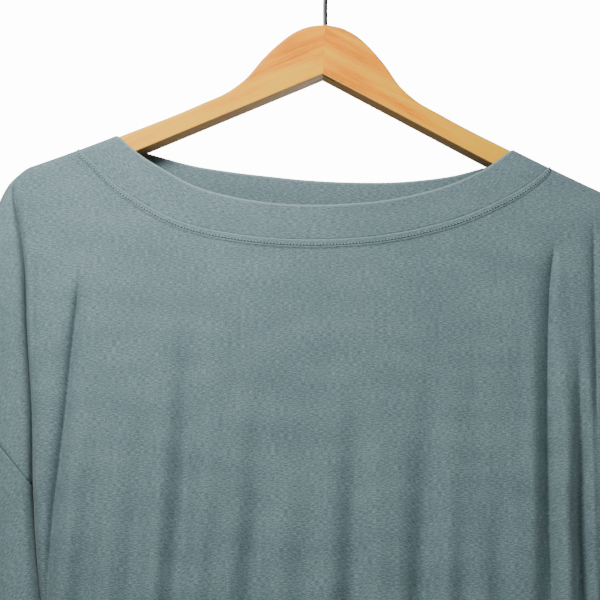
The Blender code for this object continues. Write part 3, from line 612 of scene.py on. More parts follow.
def body_folds(face, x, drop):
    """Sum of the soft vertical folds and creases, outward positive."""
    total = np.zeros_like(x)
    for start_drop, start_x, low_x, depth, half_width in FOLDS[face]:
        centre = start_x + (low_x - start_x) * (drop - start_drop) / (LOW_DROP - start_drop)
        centre = centre + wander(FOLD_WANDER, drop, np.full_like(x, start_x))
        low = np.clip((drop - LOW_DROP) / HEM_GAIN_LENGTH, 0, 1)
        grown = smoothstep((drop - start_drop) / FOLD_RAMP) * (1 + (HEM_FOLD_GAIN - 1) * low)
        place = (x - centre) / half_width
        ridges = np.exp(-(place - RIDGE_OFFSET) ** 2) + np.exp(-(place + RIDGE_OFFSET) ** 2)
        total += FOLD_GAIN * depth * grown * (RIDGE_PART * ridges - np.exp(-place ** 2))
    for start_drop, end_drop, start_x, end_x, depth, half_width in CREASES[face]:
        part = (drop - start_drop) / (end_drop - start_drop)
        centre = start_x + (end_x - start_x) * part
        centre = centre + wander(CREASE_WANDER, drop, np.full_like(x, start_x))
        fade = smoothstep((part - CREASE_FADES) / (1.0 - CREASE_FADES))
        grown = smoothstep(part / CREASE_GROWS) * (1.0 - fade)
        total -= depth * grown * np.exp(-((x - centre) / half_width) ** 2)
    for places, depth, left_width, right_width, fade in SHARP_CREASES[face]:
        drops, middles = np.array(places).T
        centre = smooth_path(drops, middles, np.clip(drop, drops[0], drops[-1]))
        grown = smoothstep((drop - drops[0]) / fade)
        grown = grown * (1.0 - SHARP_FADE * smoothstep((drop - drops[-1]) / SHARP_END))
        width = np.where(x < centre, left_width, right_width)
        total -= depth * grown * np.exp(-np.abs(x - centre) / width)
    return total


def hand_of_cloth(face, x, drop):
    """Slight unevenness of hung jersey: long soft waves and a little puckering."""
    total = 0.0
    for index, (height, across, down, from_x, from_drop) in enumerate(UNEVENNESS):
        seed = UNEVEN_SEED[face] + index
        total = total + height * soft_noise(x / across + from_x, drop / down + from_drop, seed)
    return total


def wing_folds(face, side, across, drop):
    total = np.zeros_like(across)
    part = fraction_below_tip(side, drop)
    grown = smoothstep((part - WING_FOLD_START) / (WING_FOLD_FULL - WING_FOLD_START))
    for top_place, cuff_place, depth, half_width in WING_FOLDS[face]:
        centre = top_place + (cuff_place - top_place) * part
        place = (across - centre) / half_width
        total -= depth * grown * np.exp(-place ** 2)
    return total


def side_profile(piece, inward, part, below_split):
    """Rise of the cloth beside the crease, which rounds into an edge below the underarm."""
    open_part = 1.0 - smoothstep((part - CREASE_START) / (CREASE_FULL - CREASE_START))
    crease = CREASE_FLOOR + (ARCH_HALF - CREASE_FLOOR) * open_part
    wall = (1.0 - np.clip(inward / WALL_WIDTH[piece], 0.0, 1.0)) ** 2
    slope = np.exp(-inward / CREASE_WIDTH[piece])
    valley = 1.0 - WALL_PART * wall - (1.0 - WALL_PART) * slope
    rounded = closure(inward / SIDE_ROUND[piece])
    split = smoothstep(below_split / SPLIT_LENGTH)
    return crease * (1 - split), valley * (1 - split) + rounded * split


def body_form(face, side, x, drop):
    """Half depth of the body."""
    out = SIDES[side] * x
    part = fraction_below_tip(side, drop)
    edge = distance_to_outline(side, out, drop)
    arch = ARCH_HALF * arch_closure(edge / (ARCH_RISE * math.cos(WOOD_SLOPE)))
    swell = BODY_SWELL * (1 - np.exp(-edge / BODY_SWELL_LENGTH))
    lean = NECK_LEAN[face] * np.exp(-(x / NECK_LEAN_WIDTH) ** 2)
    lean = lean * np.exp(-((drop - NECK_LEAN_DROP) / NECK_LEAN_LENGTH) ** 2)
    lean = lean * smoothstep((edge - ARCH_RISE) / NECK_LEAN_RAMP)
    flare = HEM_FLARE[face] * smoothstep(part)
    uneven = hand_of_cloth(face, x, drop) * smoothstep((edge - ARCH_RISE) / NECK_LEAN_RAMP)
    free = arch + swell + lean + flare + uneven + body_folds(face, x, drop)
    inward = np.clip(side_line_out(side, drop) - out, 0.0, None)
    below = drop - drop_at_fraction(side, UNDERARM_PART)
    floor, rise = side_profile("body", inward, part, below)
    near_tip = np.minimum(arch, floor)
    return near_tip + (free - near_tip) * rise


def wing_form(face, side, x, drop, below_seam):
    """Half depth of a wing, or of its sleeve further down."""
    out = SIDES[side] * x
    part = fraction_below_tip(side, drop)
    edge = distance_to_outline(side, out, drop)
    inner = side_line_out(side, drop) + SLEEVE_SIDE_GAP * smoothstep(below_seam / SPLIT_LENGTH)
    outs, drops, _ = OUTLINES[side]
    width = np.maximum(np.interp(drop, drops, outs) - inner, 1.0)
    across = np.clip(1.0 - (out - inner) / width, 0.0, 1.0)
    arch = ARCH_HALF * arch_closure(edge / (ARCH_RISE * math.cos(WOOD_SLOPE)))
    swell = WING_SWELL * (1 - np.exp(-edge / WING_SWELL_LENGTH))
    free = arch + swell + wing_folds(face, side, across, drop)
    outward = np.clip(out - inner, 0.0, None)
    floor, rise = side_profile("wing", outward, part, below_seam)
    near_tip = np.minimum(arch, floor)
    return near_tip + (free - near_tip) * rise


def form_at(face, x, drop):
    """Half depth of the body at any place, on either side of the hook line."""
    left = body_form(face, "left", x, drop)
    right = body_form(face, "right", x, drop)
    part = smoothstep((x + CENTRE_BLEND) / (2 * CENTRE_BLEND))
    return left * (1 - part) + right * part


def to_point(x, drop, y):
    """World place, in metres, of a place on the hanger."""
    return np.stack((x, y, -(HOOK_TO_WOOD + drop)), axis=-1) * MM


# Grids of points


def neck_path(face, lower):
    """Dense path across the neck, from the top edge (0) to the seam (1)."""
    rows = []
    for top_x, top_drop, seam_x, seam_drop in NECK[face]:
        if top_drop is None:
            top_drop = float(outline_drop(side_of(top_x), abs(top_x)))
            seam_drop = float(outline_drop(side_of(seam_x), abs(seam_x)))
        rows.append((top_x, top_drop, seam_x, seam_drop))
    columns = np.array(rows).T
    stations = np.arange(len(rows), dtype=float)
    fine = np.linspace(0.0, stations[-1], NECK_PATH_POINTS)
    top_x, top_drop, seam_x, seam_drop = [smooth_path(stations, c, fine) for c in columns]
    x = top_x + (seam_x - top_x) * lower
    drop = top_drop + (seam_drop - top_drop) * lower
    ridge = np.where(x < 0, outline_drop("left", -x), outline_drop("right", x))
    drop[0] = ridge[0]
    drop[-1] = ridge[-1]
    return x, drop, np.maximum(drop - ridge, 0.0)


def neck_samples(face, lower):
    """Places across the neck: close together where the cloth turns over an arm."""
    x, drop, below = neck_path(face, lower)
    half = len(x) // 2
    offsets = np.array(TOP_ROWS)
    left = np.interp(offsets, np.maximum.accumulate(below[:half]), np.arange(half))
    right_below = np.maximum.accumulate(below[::-1][:half])
    right = len(x) - 1 - np.interp(offsets, right_below, np.arange(half))
    length = np.concatenate(([0.0], np.cumsum(np.hypot(np.diff(x), np.diff(drop)))))
    index = np.arange(len(x))
    start = np.interp(left[-1], index, length)
    end = np.interp(right[-1], index, length)
    even = np.linspace(start, end, NECK_MIDDLE_STEPS + 1)[1:-1]
    picks = np.concatenate((left, np.interp(even, length, index), right[::-1]))
    return np.interp(picks, index, x), np.interp(picks, index, drop)


def seam_turns(face, side, outs):
    """Turn over the arm at which the shoulder seam lies, for columns along the shoulder."""
    neck_end = abs(NECK["front"][0][2] if side == "left" else NECK["front"][-1][2])
    away = smoothstep((outs - neck_end - 1.0) / SEAM_SHIFT_LENGTH)
    fade = 1.0 - smoothstep((outs - TIP_OUT[side]) / SEAM_SHIFT_LENGTH)
    turn = SHOULDER_SEAM_ANGLE[side] * away * fade
    return turn if face == "front" else -turn


def level_parts():
    above = np.linspace(FIRST_LEVEL_PART, UNDERARM_PART, LEVELS_ABOVE_UNDERARM)
    below = np.linspace(UNDERARM_PART, 1.0, LEVELS_BELOW_UNDERARM)
    return np.concatenate((above, below[1:]))


def panel_rows(side_turn, top_drop, x_part):
    """Drops and turns of every row of one column."""
    turns = side_turn + (1.0 - side_turn * 2 / math.pi) * ARCH_TURNS
    arch = top_drop + ARCH_RISE * (1.0 - np.cos(turns))
    left, right = [drop_at_fraction(side, level_parts()) for side in SIDES]
    levels = left + (right - left) * x_part
    between = np.linspace(arch[-1], levels[0], UPPER_STEPS + 2)[1:-1]
    return np.concatenate((arch, between, levels)), turns


def drawn_to_creases(face, x, drops, left, right):
    """Move the places of a column nearer to the sharp creases beside it."""
    for places, _, _, _, fade in SHARP_CREASES[face]:
        levels, middles = np.array(places).T
        away = x - smooth_path(levels, middles, np.clip(drops, levels[0], levels[-1]))
        inside = smoothstep(np.minimum(x - left, right - x) / CREASE_REACH)
        begun = smoothstep((drops - levels[0] + 2 * fade) / (2 * fade))
        x = x - CREASE_PULL * inside * begun * away * np.exp(-(away / CREASE_REACH) ** 2)
    return x


def body_grid(face):
    """Points of a panel between its two side lines, and the columns of its neck edge."""
    neck_x, neck_drop = neck_samples(face, 1.0)
    tops, drops_at_top, turns = {}, {}, {}
    for side in SIDES:
        neck_end = abs(neck_x[0 if side == "left" else -1])
        top_out = TIP_OUT[side] + SIDE_LINE[0][1]
        tops[side] = np.linspace(top_out, neck_end, SHOULDER_STEPS + 1)[:-1]
        drops_at_top[side] = outline_drop(side, tops[side])
        turns[side] = seam_turns(face, side, tops[side])
    top_x = np.concatenate((-tops["left"], neck_x, tops["right"][::-1]))
    top_drop = np.concatenate((drops_at_top["left"], neck_drop, drops_at_top["right"][::-1]))
    turn = np.concatenate((turns["left"], np.zeros(len(neck_x)), turns["right"][::-1]))
    count = len(top_x)
    near = np.array(SIDE_COLUMN_OUTS) / (top_x[-1] - top_x[0])
    middle = np.linspace(near[-1], 1.0 - near[-1], count - 2 * len(near) + 2)
    even = np.concatenate((near[:-1], middle, 1.0 - near[:-1][::-1]))
    across = (top_x - top_x[0]) / (top_x[-1] - top_x[0])
    columns = []
    for index in range(count):
        drops, arch_turns = panel_rows(turn[index], top_drop[index], across[index])
        down = smoothstep((drops - drops[ARCH_STEPS]) / COLUMN_SPREAD)
        left = -side_line_out("left", drops)
        right = side_line_out("right", drops)
        start = (top_x[index] - left[ARCH_STEPS]) / (right - left)[ARCH_STEPS]
        part = start * (1 - down) + even[index] * down
        x = left + (right - left) * part
        x = drawn_to_creases(face, x, drops, left, right)
        x[: ARCH_STEPS + 1] = top_x[index]
        if index in (0, count - 1):
            x = np.where(np.arange(len(x)) == 0, top_x[index], left if index == 0 else right)
        half = np.maximum(form_at(face, x, drops), 0.0)
        over = np.ones(len(drops))
        over[: ARCH_STEPS + 1] = np.where(arch_turns < -1e-6, -1.0, 1.0)
        columns.append(to_point(x, drops, FACES[face] * half * over))
    first = SHOULDER_STEPS
    return np.stack(columns, axis=1), (first, first + len(neck_x))


def split_row():
    return ARCH_STEPS + 1 + UPPER_STEPS + LEVELS_ABOVE_UNDERARM - 1


def wing_columns(ease):
    """Places across a wing from 0 to 1, close together at the crease and at the edge."""
    even = np.linspace(0.0, 1.0, WING_STEPS)
    eased = even * (1 - ease) + ease * smoothstep(even)
    return np.concatenate((WING_NEAR, eased[eased > WING_NEAR[-1] + WING_NEAR_GAP]))


def wing_grid(face, side, body):
    """Points of a wing, from the crease outward to the over-arm edge."""
    sign = SIDES[side]
    outs, drops, _ = OUTLINES[side]
    last = split_row()
    crease = body[: last + 1, 0 if side == "left" else -1]
    inner_out = sign * crease[:, 0] / MM
    inner_drop = -crease[:, 2] / MM - HOOK_TO_WOOD
    corners = np.array((TIP_OUT[side] + CORNER_PAST, TIP_OUT[side] + SEAM_PAST))
    down = np.linspace(0.0, 1.0, last + 1)
    ends = outline_drop(side, corners)
    outer_drop = ends[0] + (ends[1] - ends[0]) * down
    outer_out = np.interp(outer_drop, drops, outs)
    across = wing_columns(WING_EASE)
    out = inner_out[:, None] + (outer_out - inner_out)[:, None] * across
    drop = inner_drop[:, None] + (outer_drop - inner_drop)[:, None] * across
    bulge = outline_drop(side, out[0]) - drop[0]
    drop = drop + bulge[None, :] * (1 - down[:, None]) ** 3
    half = wing_form(face, side, sign * out, drop, np.full(out.shape, -1.0))
    points = to_point(sign * out, drop, FACES[face] * np.maximum(half, 0.0))
    points[:, 0] = crease
    return points


def grid_normals(points, outward, closed=False):
    """Unit normals of a grid, turned to the side of the outward directions."""
    if closed:
        across = np.roll(points, -1, axis=1) - np.roll(points, 1, axis=1)
    else:
        across = np.gradient(points, axis=1)
    normals = np.cross(np.gradient(points, axis=0), across)
    normals /= np.maximum(np.linalg.norm(normals, axis=2, keepdims=True), 1e-12)
    turn = np.sign((normals * outward).sum(axis=2, keepdims=True))
    majority = 1.0 if turn.mean() >= 0 else -1.0
    return normals * majority


def outward_of(points, face):
    """Rough outward direction: away from the middle plane."""
    direction = np.zeros_like(points)
    direction[..., 1] = FACES[face]
    return direction


def distance_from_edge(points, last=False):
    """Distance along each column from the first row, or from the last one, in mm."""
    steps = np.linalg.norm(np.diff(points, axis=0), axis=2) / MM
    total = np.concatenate((np.zeros((1, points.shape[1])), np.cumsum(steps, axis=0)))
    return total[-1] - total if last else total


def seam_relief(distance, allowance=True):
    """Height of the cloth beside a seam: a ditch, or the rolled edge over the allowance."""
    if not allowance:
        return -DITCH_DEPTH * np.exp(-(distance / DITCH_WIDTH) ** 2)
    end = 1.0 - smoothstep((distance - ALLOWANCE_END + ALLOWANCE_EDGE) / ALLOWANCE_EDGE)
    return ALLOWANCE_RISE * closure(distance / ALLOWANCE_START) * end


def pinch(distance, at):
    return -STITCH_PINCH * np.exp(-((distance - at) / STITCH_PINCH_WIDTH) ** 2)


def hem_rows(depth):
    """Both rows of stitches of a hem, as distances from its folded edge in mm."""
    upper = depth / MM - HEM_STITCH_INSET
    return upper, upper - settings("stitches").row_gap / MM


def hem_relief(from_edge, depth):
    """Relief of a hem: the layer that is folded up inside, and both pinched rows."""
    upper, lower = hem_rows(depth)
    end = smoothstep((from_edge - upper - HEM_STITCH_INSET) / HEM_LAYER_FADE)
    return HEM_LAYER * (1.0 - end) + pinch(from_edge, upper) + pinch(from_edge, lower)


def end_run(points):
    """Unit direction in which each column of a grid ends."""
    run = points[-1] - points[-3]
    return run / np.linalg.norm(run, axis=1, keepdims=True)


def tube_grid(rows):
    """Points and normals of a closed tube, from x, drop and half depth of each face."""
    sheet, outward = [], []
    for places in rows:
        ring, away = [], []
        for face, (x, drop, half) in places.items():
            half[[0, -1]] = 0.0
            points = to_point(x, drop, FACES[face] * half)
            direction = outward_of(points, face)
            if face == "back":
                points, direction = points[::-1][1:-1], direction[::-1][1:-1]
            ring.append(points)
            away.append(direction)
        sheet.append(np.concatenate(ring))
        outward.append(np.concatenate(away))
    sheet = np.stack(sheet)
    return sheet, grid_normals(sheet, np.stack(outward), closed=True)


def folded_edge(points, normals, depth, wall, down):
    """Rows that turn a grid's last row under and run back up inside it."""
    gap = 2.0 * wall + FOLD_GAP * MM
    radius = gap / 2
    turns = np.linspace(0.0, math.pi, FOLD_OVER_STEPS + 2)[1:]
    edge, normal = points[-1], normals[-1]
    rows = [edge + down * radius * math.sin(t) - normal * radius * (1 - math.cos(t))
            for t in turns]
    height = distance_from_edge(points, last=True) * MM
    for step in range(1, LEAF_ROWS + 1):
        wanted = depth * step / LEAF_ROWS
        row = np.empty_like(edge)
        for column in range(points.shape[1]):
            order = height[::-1, column]
            for axis in range(3):
                line = (points - normals * gap)[::-1, column, axis]
                row[column, axis] = np.interp(wanted, order, line)
        rows.append(row)
    return np.stack(rows)


# Meshes


def grid_uv(points, turn, sign):
    """Flat coordinates of a grid in metres, turned so that x follows the knitted rows."""
    x = points[..., 0] * sign
    drop = -points[..., 2] + UV_DEPTH_PART * np.abs(points[..., 1])
    u = x * math.cos(turn) + drop * math.sin(turn)
    v = -x * math.sin(turn) + drop * math.cos(turn)
    return np.stack((u * sign, v), axis=-1)


def ring_uv(points):
    """Coordinates along and across a ring of cloth, in metres."""
    middle = points[len(points) // 2]
    run = np.linalg.norm(np.diff(middle, axis=0), axis=1)
    along = np.concatenate(([0.0], np.cumsum(run)))
    across = distance_from_edge(points).mean(axis=1) * MM
    u, v = np.meshgrid(along, across)
    return np.stack((u, v), axis=-1)


def cloth_mesh(name, patches, closed=False):
    """One open sheet from grids of points, with cloth coordinates and each point's share of
    painted highlight.
    """
    bm = bmesh.new()
    weave = bm.loops.layers.uv.new("weave")
    # Share of painted highlight at each point
    highlight = bm.verts.layers.float.new("pale_edge")
    for points, uv, flip, pale in patches:
        rows, columns, _ = points.shape
        verts = [bm.verts.new(point) for point in points.reshape(-1, 3)]
        for vert, value in zip(verts, pale.ravel()):
            vert[highlight] = value
        places = uv.reshape(-1, 2)
        width = uv.shape[1]
        for row in range(rows - 1):
            for column in range(columns if closed else columns - 1):
                after = column + 1
                quad = ((row, column), (row + 1, column), (row + 1, after), (row, after))
                loop = [verts[r * columns + c % columns] for r, c in quad]
                flat = [places[r * width + c] for r, c in quad]
                if flip:
                    loop, flat = loop[::-1], flat[::-1]
                face = bm.faces.new(loop)
                face.smooth = True
                for corner, place in zip(face.loops, flat):
                    corner[weave].uv = place
    bmesh.ops.remove_doubles(bm, verts=bm.verts, dist=MERGE_DISTANCE)
    mesh = bpy.data.meshes.new(name)
    bm.to_mesh(mesh)
    bm.free()
    return mesh


def plain_piece(name, data, replaced=()):
    """Piece of the root body and the nodes that it replaces."""
    obj = bpy.data.objects.new(name, data)
    bpy.context.scene.collection.objects.link(obj)
    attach(obj, "root")
    if replaced:
        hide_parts(*replaced)
    return obj


def place_cloth(name, mesh, wall, slot):
    """Piece of cloth with its wall, in place of the node that is named as its slot."""
    mesh.materials.append(jersey_material())
    obj = plain_piece(name, mesh, [slot])
    solidify = obj.modifiers.new("wall", "SOLIDIFY")
    solidify.thickness = wall
    solidify.offset = -1.0
    solidify.use_even_offset = False
    return obj


def stitch_line(points, normals, distance, last=False):
    """Line on a grid at a distance from its first or last row, for stitches to lie on."""
    step = -1 if last else 1
    away = distance_from_edge(points, last)[::step]
    raised = (points + normals * settings("stitches").thread * STITCH_LIFT)[::step]
    return np.array([
        [np.interp(distance, away[:, column], raised[:, column, axis]) for axis in range(3)]
        for column in range(points.shape[1])])


# Materials


def new_material(name):
    material = bpy.data.materials.new(name)
    material.use_nodes = True
    tree = material.node_tree
    return material, tree, tree.nodes["Principled BSDF"]


def feed(tree, node, inputs):
    """Set inputs of a node, each to a value or from the socket of another node."""
    for name, value in inputs.items():
        if isinstance(value, bpy.types.NodeSocket):
            tree.links.new(value, node.inputs[name])
        else:
            node.inputs[name].default_value = value


def add(tree, kind, inputs=None, **values):
    node = tree.nodes.new(kind)
    for key, value in values.items():
        setattr(node, key, value)
    feed(tree, node, inputs or {})
    return node


def mapped(tree, source, scale, turn=(0.0, 0.0, 0.0)):
    """Coordinates turned, then scaled so that one unit is one feature."""
    turned = add(tree, "ShaderNodeMapping", {"Vector": source, "Rotation": turn},
                 vector_type="TEXTURE")
    sized = add(tree, "ShaderNodeMapping", {"Vector": turned.outputs[0], "Scale": scale},
                vector_type="TEXTURE")
    return sized.outputs[0]


def noise(tree, vector, detail=2.0, roughness=0.55, distortion=0.0):
    return add(tree, "ShaderNodeTexNoise", {
        "Vector": vector, "Scale": 1.0, "Detail": detail, "Roughness": roughness,
        "Distortion": distortion}).outputs["Fac"]


def object_place(tree):
    return add(tree, "ShaderNodeTexCoord").outputs["Object"]


def layered(tree, place, layers, turn=(0.0, 0.0, 0.0)):
    """Noise at several sizes, each with its weight."""
    return [(noise(tree, mapped(tree, place, scale, turn), *kind), weight)
            for scale, *kind, weight in layers]


def blend_values(tree, parts):
    """Weighted sum of factors."""
    total = None
    for socket, weight in parts:
        scaled = add(tree, "ShaderNodeMath", {0: socket, 1: weight}, operation="MULTIPLY")
        if total is None:
            total = scaled.outputs[0]
            continue
        summed = add(tree, "ShaderNodeMath", {0: total, 1: scaled.outputs[0]}, operation="ADD")
        total = summed.outputs[0]
    return total


def ramp(tree, factor, stops):
    node = add(tree, "ShaderNodeValToRGB", {"Fac": factor})
    elements = node.color_ramp.elements
    while len(elements) < len(stops):
        elements.new(0.5)
    for element, (place, colour) in zip(elements, stops):
        element.position = place
        element.color = (*colour, 1.0)
    return node.outputs["Color"]


def grey_ramp(tree, factor, stops):
    return ramp(tree, factor, [(place, (level,) * 3) for place, level in stops])


def mixed(tree, share, first, second):
    """Colour that turns from the first into the second as the share grows."""
    return add(tree, "ShaderNodeMixRGB", {
        "Fac": share, "Color1": first, "Color2": (*second, 1.0)}).outputs["Color"]


def bump(tree, height, distance, strength, before=None):
    node = add(tree, "ShaderNodeBump", {
        "Height": height, "Distance": distance, "Strength": strength})
    if before is not None:
        feed(tree, node, {"Normal": before})
    return node.outputs["Normal"]


def jersey_material():
    """Melange jersey: short pale and dark streaks along the knitted rows."""
    found = bpy.data.materials.get("melange_jersey")
    if found:
        return found
    cloth = settings("cloth")
    material, tree, shader = new_material("melange_jersey")
    weave = add(tree, "ShaderNodeUVMap", uv_map="weave").outputs["UV"]
    tones = layered(tree, weave, JERSEY_TONES)
    colours = tuple(cloth.dark), tuple(cloth.body), tuple(cloth.pale)
    colour = ramp(tree, blend_values(tree, tones), tuple(zip(JERSEY_STOPS, colours)))
    highlight = add(tree, "ShaderNodeAttribute", attribute_name="pale_edge").outputs["Fac"]
    wales = add(tree, "ShaderNodeTexWave", {
        "Vector": mapped(tree, weave, (0.0023, 0.0023, 1.0)), "Scale": 0.5,
        "Distortion": 1.2, "Detail": 1.0}, wave_type="BANDS", bands_direction="X")
    knit = bump(tree, wales.outputs["Fac"], 0.00012, 0.25)
    # The base colour turns toward the painted highlight colour where the points carry it
    feed(tree, shader, {
        "Base Color": mixed(tree, blend_values(tree, ((highlight, CLOTH_HIGHLIGHT_SHARE),)), colour, cloth.edge),
        "Normal": bump(tree, tones[1][0], 0.00022, 0.35, knit),
        "Roughness": 0.88, "Specular IOR Level": 0.25, "Sheen Weight": 0.22,
        "Sheen Roughness": 0.45, "Sheen Tint": (0.75, 0.85, 0.86, 1.0)})
    return material


def thread_material():
    found = bpy.data.materials.get("sewing_thread")
    if found:
        return found
    colour = tuple(settings("stitches").colour)
    darker = tuple(THREAD_SHADE * value for value in colour)
    material, tree, shader = new_material("sewing_thread")
    twist = noise(tree, mapped(tree, object_place(tree), (0.0004,) * 3), 1.0)
    feed(tree, shader, {
        "Base Color": ramp(tree, twist, ((0.35, darker), (0.65, colour))),
        "Normal": bump(tree, twist, 0.0001, 0.4), "Roughness": 0.6, "Sheen Weight": 0.15})
    return material


def plain_material(name):
    """Dull material with a faint mottle between two colours."""
    scale, detail, dark, pale, rough = PLAIN[name]
    material, tree, shader = new_material(name)
    mottle = noise(tree, mapped(tree, object_place(tree), scale), detail)
    feed(tree, shader, {
        "Base Color": ramp(tree, mottle, ((0.3, dark), (0.7, pale))), "Roughness": rough})
    return material


def wood_material(side):
    """Lacquered honey beech with its grain along the arm."""
    hanger = settings("hanger")
    material, tree, shader = new_material("lacquered_wood_" + side)
    place = object_place(tree)
    sign = SIDES.get(side, 0.0)
    tones = layered(tree, place, WOOD_TONES, (0.0, WOOD_SLOPE * sign + WOOD_TILT, 0.0))
    fibres = tones[1][0]
    across = add(tree, "ShaderNodeSeparateXYZ", {0: place}).outputs["X"]
    out = blend_values(tree, ((across, sign),))
    paler = grey_ramp(tree, out, ((PALER_FROM, 0.0), (PALER_TO, 1.0)))
    tone = blend_values(tree, tones + [(paler, PALER)])
    colours = tuple(hanger.dark), tuple(hanger.honey), tuple(hanger.pale)
    colour = ramp(tree, tone, tuple(zip(WOOD_STOPS, colours)))
    normal = add(tree, "ShaderNodeTexCoord").outputs["Normal"]
    facing = add(tree, "ShaderNodeSeparateXYZ", {0: normal}).outputs["Z"]
    downward = blend_values(tree, ((facing, -1.0),))
    # Painted highlight on faces that turn partly down, along the lower edges
    colour = mixed(tree, grey_ramp(tree, downward, WOOD_EDGE_HIGHLIGHT), colour, hanger.edge)
    # Painted shade and grime on faces that point down
    colour = mixed(tree, grey_ramp(tree, downward, UNDERSIDE_SHADE_AND_GRIME), colour, hanger.under)
    feed(tree, shader, {
        "Base Color": colour, "Roughness": grey_ramp(tree, fibres, ((0.3, 0.30), (0.7, 0.42))),
        "Normal": bump(tree, fibres, 0.00008, 0.3), "Specular IOR Level": 0.08})
    return material


def wire_material():
    material, tree, shader = new_material("black_wire")
    scuffs = noise(tree, mapped(tree, object_place(tree), (0.0012, 0.0012, 0.006)), 3.0)
    feed(tree, shader, {
        "Base Color": ramp(tree, scuffs, (
            (0.35, (0.003, 0.003, 0.003)), (0.75, (0.012, 0.012, 0.013)))),
        "Roughness": grey_ramp(tree, scuffs, ((0.3, 0.28), (0.7, 0.46))),
        "Normal": bump(tree, scuffs, 0.00005, 0.3)})
    return material


# Stitches


def stitch_tree():
    """Stitches along a guide line: pitch, length and thread width are its inputs."""
    found = bpy.data.node_groups.get("stitch_row")
    if found:
        return found
    tree = bpy.data.node_groups.new("stitch_row", "GeometryNodeTree")
    face = tree.interface
    for name, kind in (("Guide", "Geometry"), ("Pitch", "Float"), ("Length part", "Float"),
                       ("Thread", "Float"), ("Seed", "Int"), ("Material", "Material")):
        face.new_socket(name, in_out="INPUT", socket_type="NodeSocket" + kind)
    face.new_socket("Stitches", in_out="OUTPUT", socket_type="NodeSocketGeometry")
    given = tree.nodes.new("NodeGroupInput").outputs
    resample = add(tree, "GeometryNodeResampleCurve", {
        "Curve": given["Guide"], "Length": given["Pitch"]}, mode="LENGTH")
    tangent = add(tree, "GeometryNodeInputTangent").outputs["Tangent"]
    align = add(tree, "FunctionNodeAlignRotationToVector", {"Vector": tangent}, axis="X")
    jitter = add(tree, "FunctionNodeRandomValue", {
        0: [-value for value in STITCH_JITTER], 1: STITCH_JITTER, "Seed": given["Seed"]},
        data_type="FLOAT_VECTOR")
    to_turn = add(tree, "FunctionNodeEulerToRotation", {"Euler": jitter.outputs["Value"]})
    turn = add(tree, "FunctionNodeRotateRotation", {
        "Rotation": align.outputs["Rotation"], "Rotate By": to_turn.outputs["Rotation"]},
        rotation_space="LOCAL")
    ball = add(tree, "GeometryNodeMeshUVSphere", {"Segments": 6, "Rings": 5, "Radius": 0.5})
    long = add(tree, "ShaderNodeMath", {0: given["Pitch"], 1: given["Length part"]},
               operation="MULTIPLY")
    size = add(tree, "ShaderNodeCombineXYZ", {
        "X": long.outputs[0], "Y": given["Thread"], "Z": given["Thread"]})
    place = add(tree, "GeometryNodeInstanceOnPoints", {
        "Points": resample.outputs["Curve"], "Instance": ball.outputs["Mesh"],
        "Rotation": turn.outputs["Rotation"], "Scale": size.outputs["Vector"]})
    real = add(tree, "GeometryNodeRealizeInstances", {"Geometry": place.outputs["Instances"]})
    smooth = add(tree, "GeometryNodeSetShadeSmooth", {"Geometry": real.outputs["Geometry"]})
    paint = add(tree, "GeometryNodeSetMaterial", {
        "Geometry": smooth.outputs[0], "Material": given["Material"]})
    add(tree, "NodeGroupOutput", {"Stitches": paint.outputs["Geometry"]})
    return tree


def trimmed(line, distance):
    """The same line of points, cut short by a distance at both ends."""
    along = np.concatenate(([0.0], np.cumsum(np.linalg.norm(np.diff(line, axis=0), axis=1))))
    ends = (distance, along[-1] - distance)
    first, last = ([np.interp(end, along, line[:, axis]) for axis in range(3)] for end in ends)
    return np.concatenate(([first], line[(along > ends[0]) & (along < ends[1])], [last]))


def stitch_rows(name, lines, pitch, cyclic=False, shade_dots=False):
    """Plain mesh of stitches, or of dark dots of painted shade between them, along lines of
    points.
    """
    stitches = settings("stitches")
    # The dots of painted shade sit half a pitch along, between the stitches
    if shade_dots:
        lines = [trimmed(line, pitch / 2) for line in lines]
    curve = bpy.data.curves.new(name + "_guide", "CURVE")
    curve.dimensions = "3D"
    for points in lines:
        spline = curve.splines.new("POLY")
        spline.points.add(len(points) - 1)
        flat = np.ones((len(points), 4))
        flat[:, :3] = points
        spline.points.foreach_set("co", flat.ravel())
        spline.use_cyclic_u = cyclic
    guide = bpy.data.objects.new(name + "_guide", curve)
    bpy.context.scene.collection.objects.link(guide)
    modifier = guide.modifiers.new("stitches", "NODES")
    modifier.node_group = stitch_tree()
    values = {
        "Pitch": pitch,
        "Length part": SHADE_DOT_PART if shade_dots else stitches.length_part,
        "Thread": stitches.thread,
        "Seed": STITCH_SEED,
        "Material": plain_material("needle_hole") if shade_dots else thread_material(),
    }
    for item in modifier.node_group.interface.items_tree:
        if item.in_out == "INPUT" and item.name in values:
            modifier[item.identifier] = values[item.name]
    graph = bpy.context.evaluated_depsgraph_get()
    mesh = bpy.data.meshes.new_from_object(guide.evaluated_get(graph))
    mesh.name = name
    guide.modifiers.remove(modifier)
    bpy.data.objects.remove(guide, do_unlink=True)
    if not mesh.vertices:
        raise RuntimeError(name + " made no stitches")
    return plain_piece(name, mesh)


# Operators


def dressed(points, normals, relief):
    return points + normals * relief[..., None] * MM


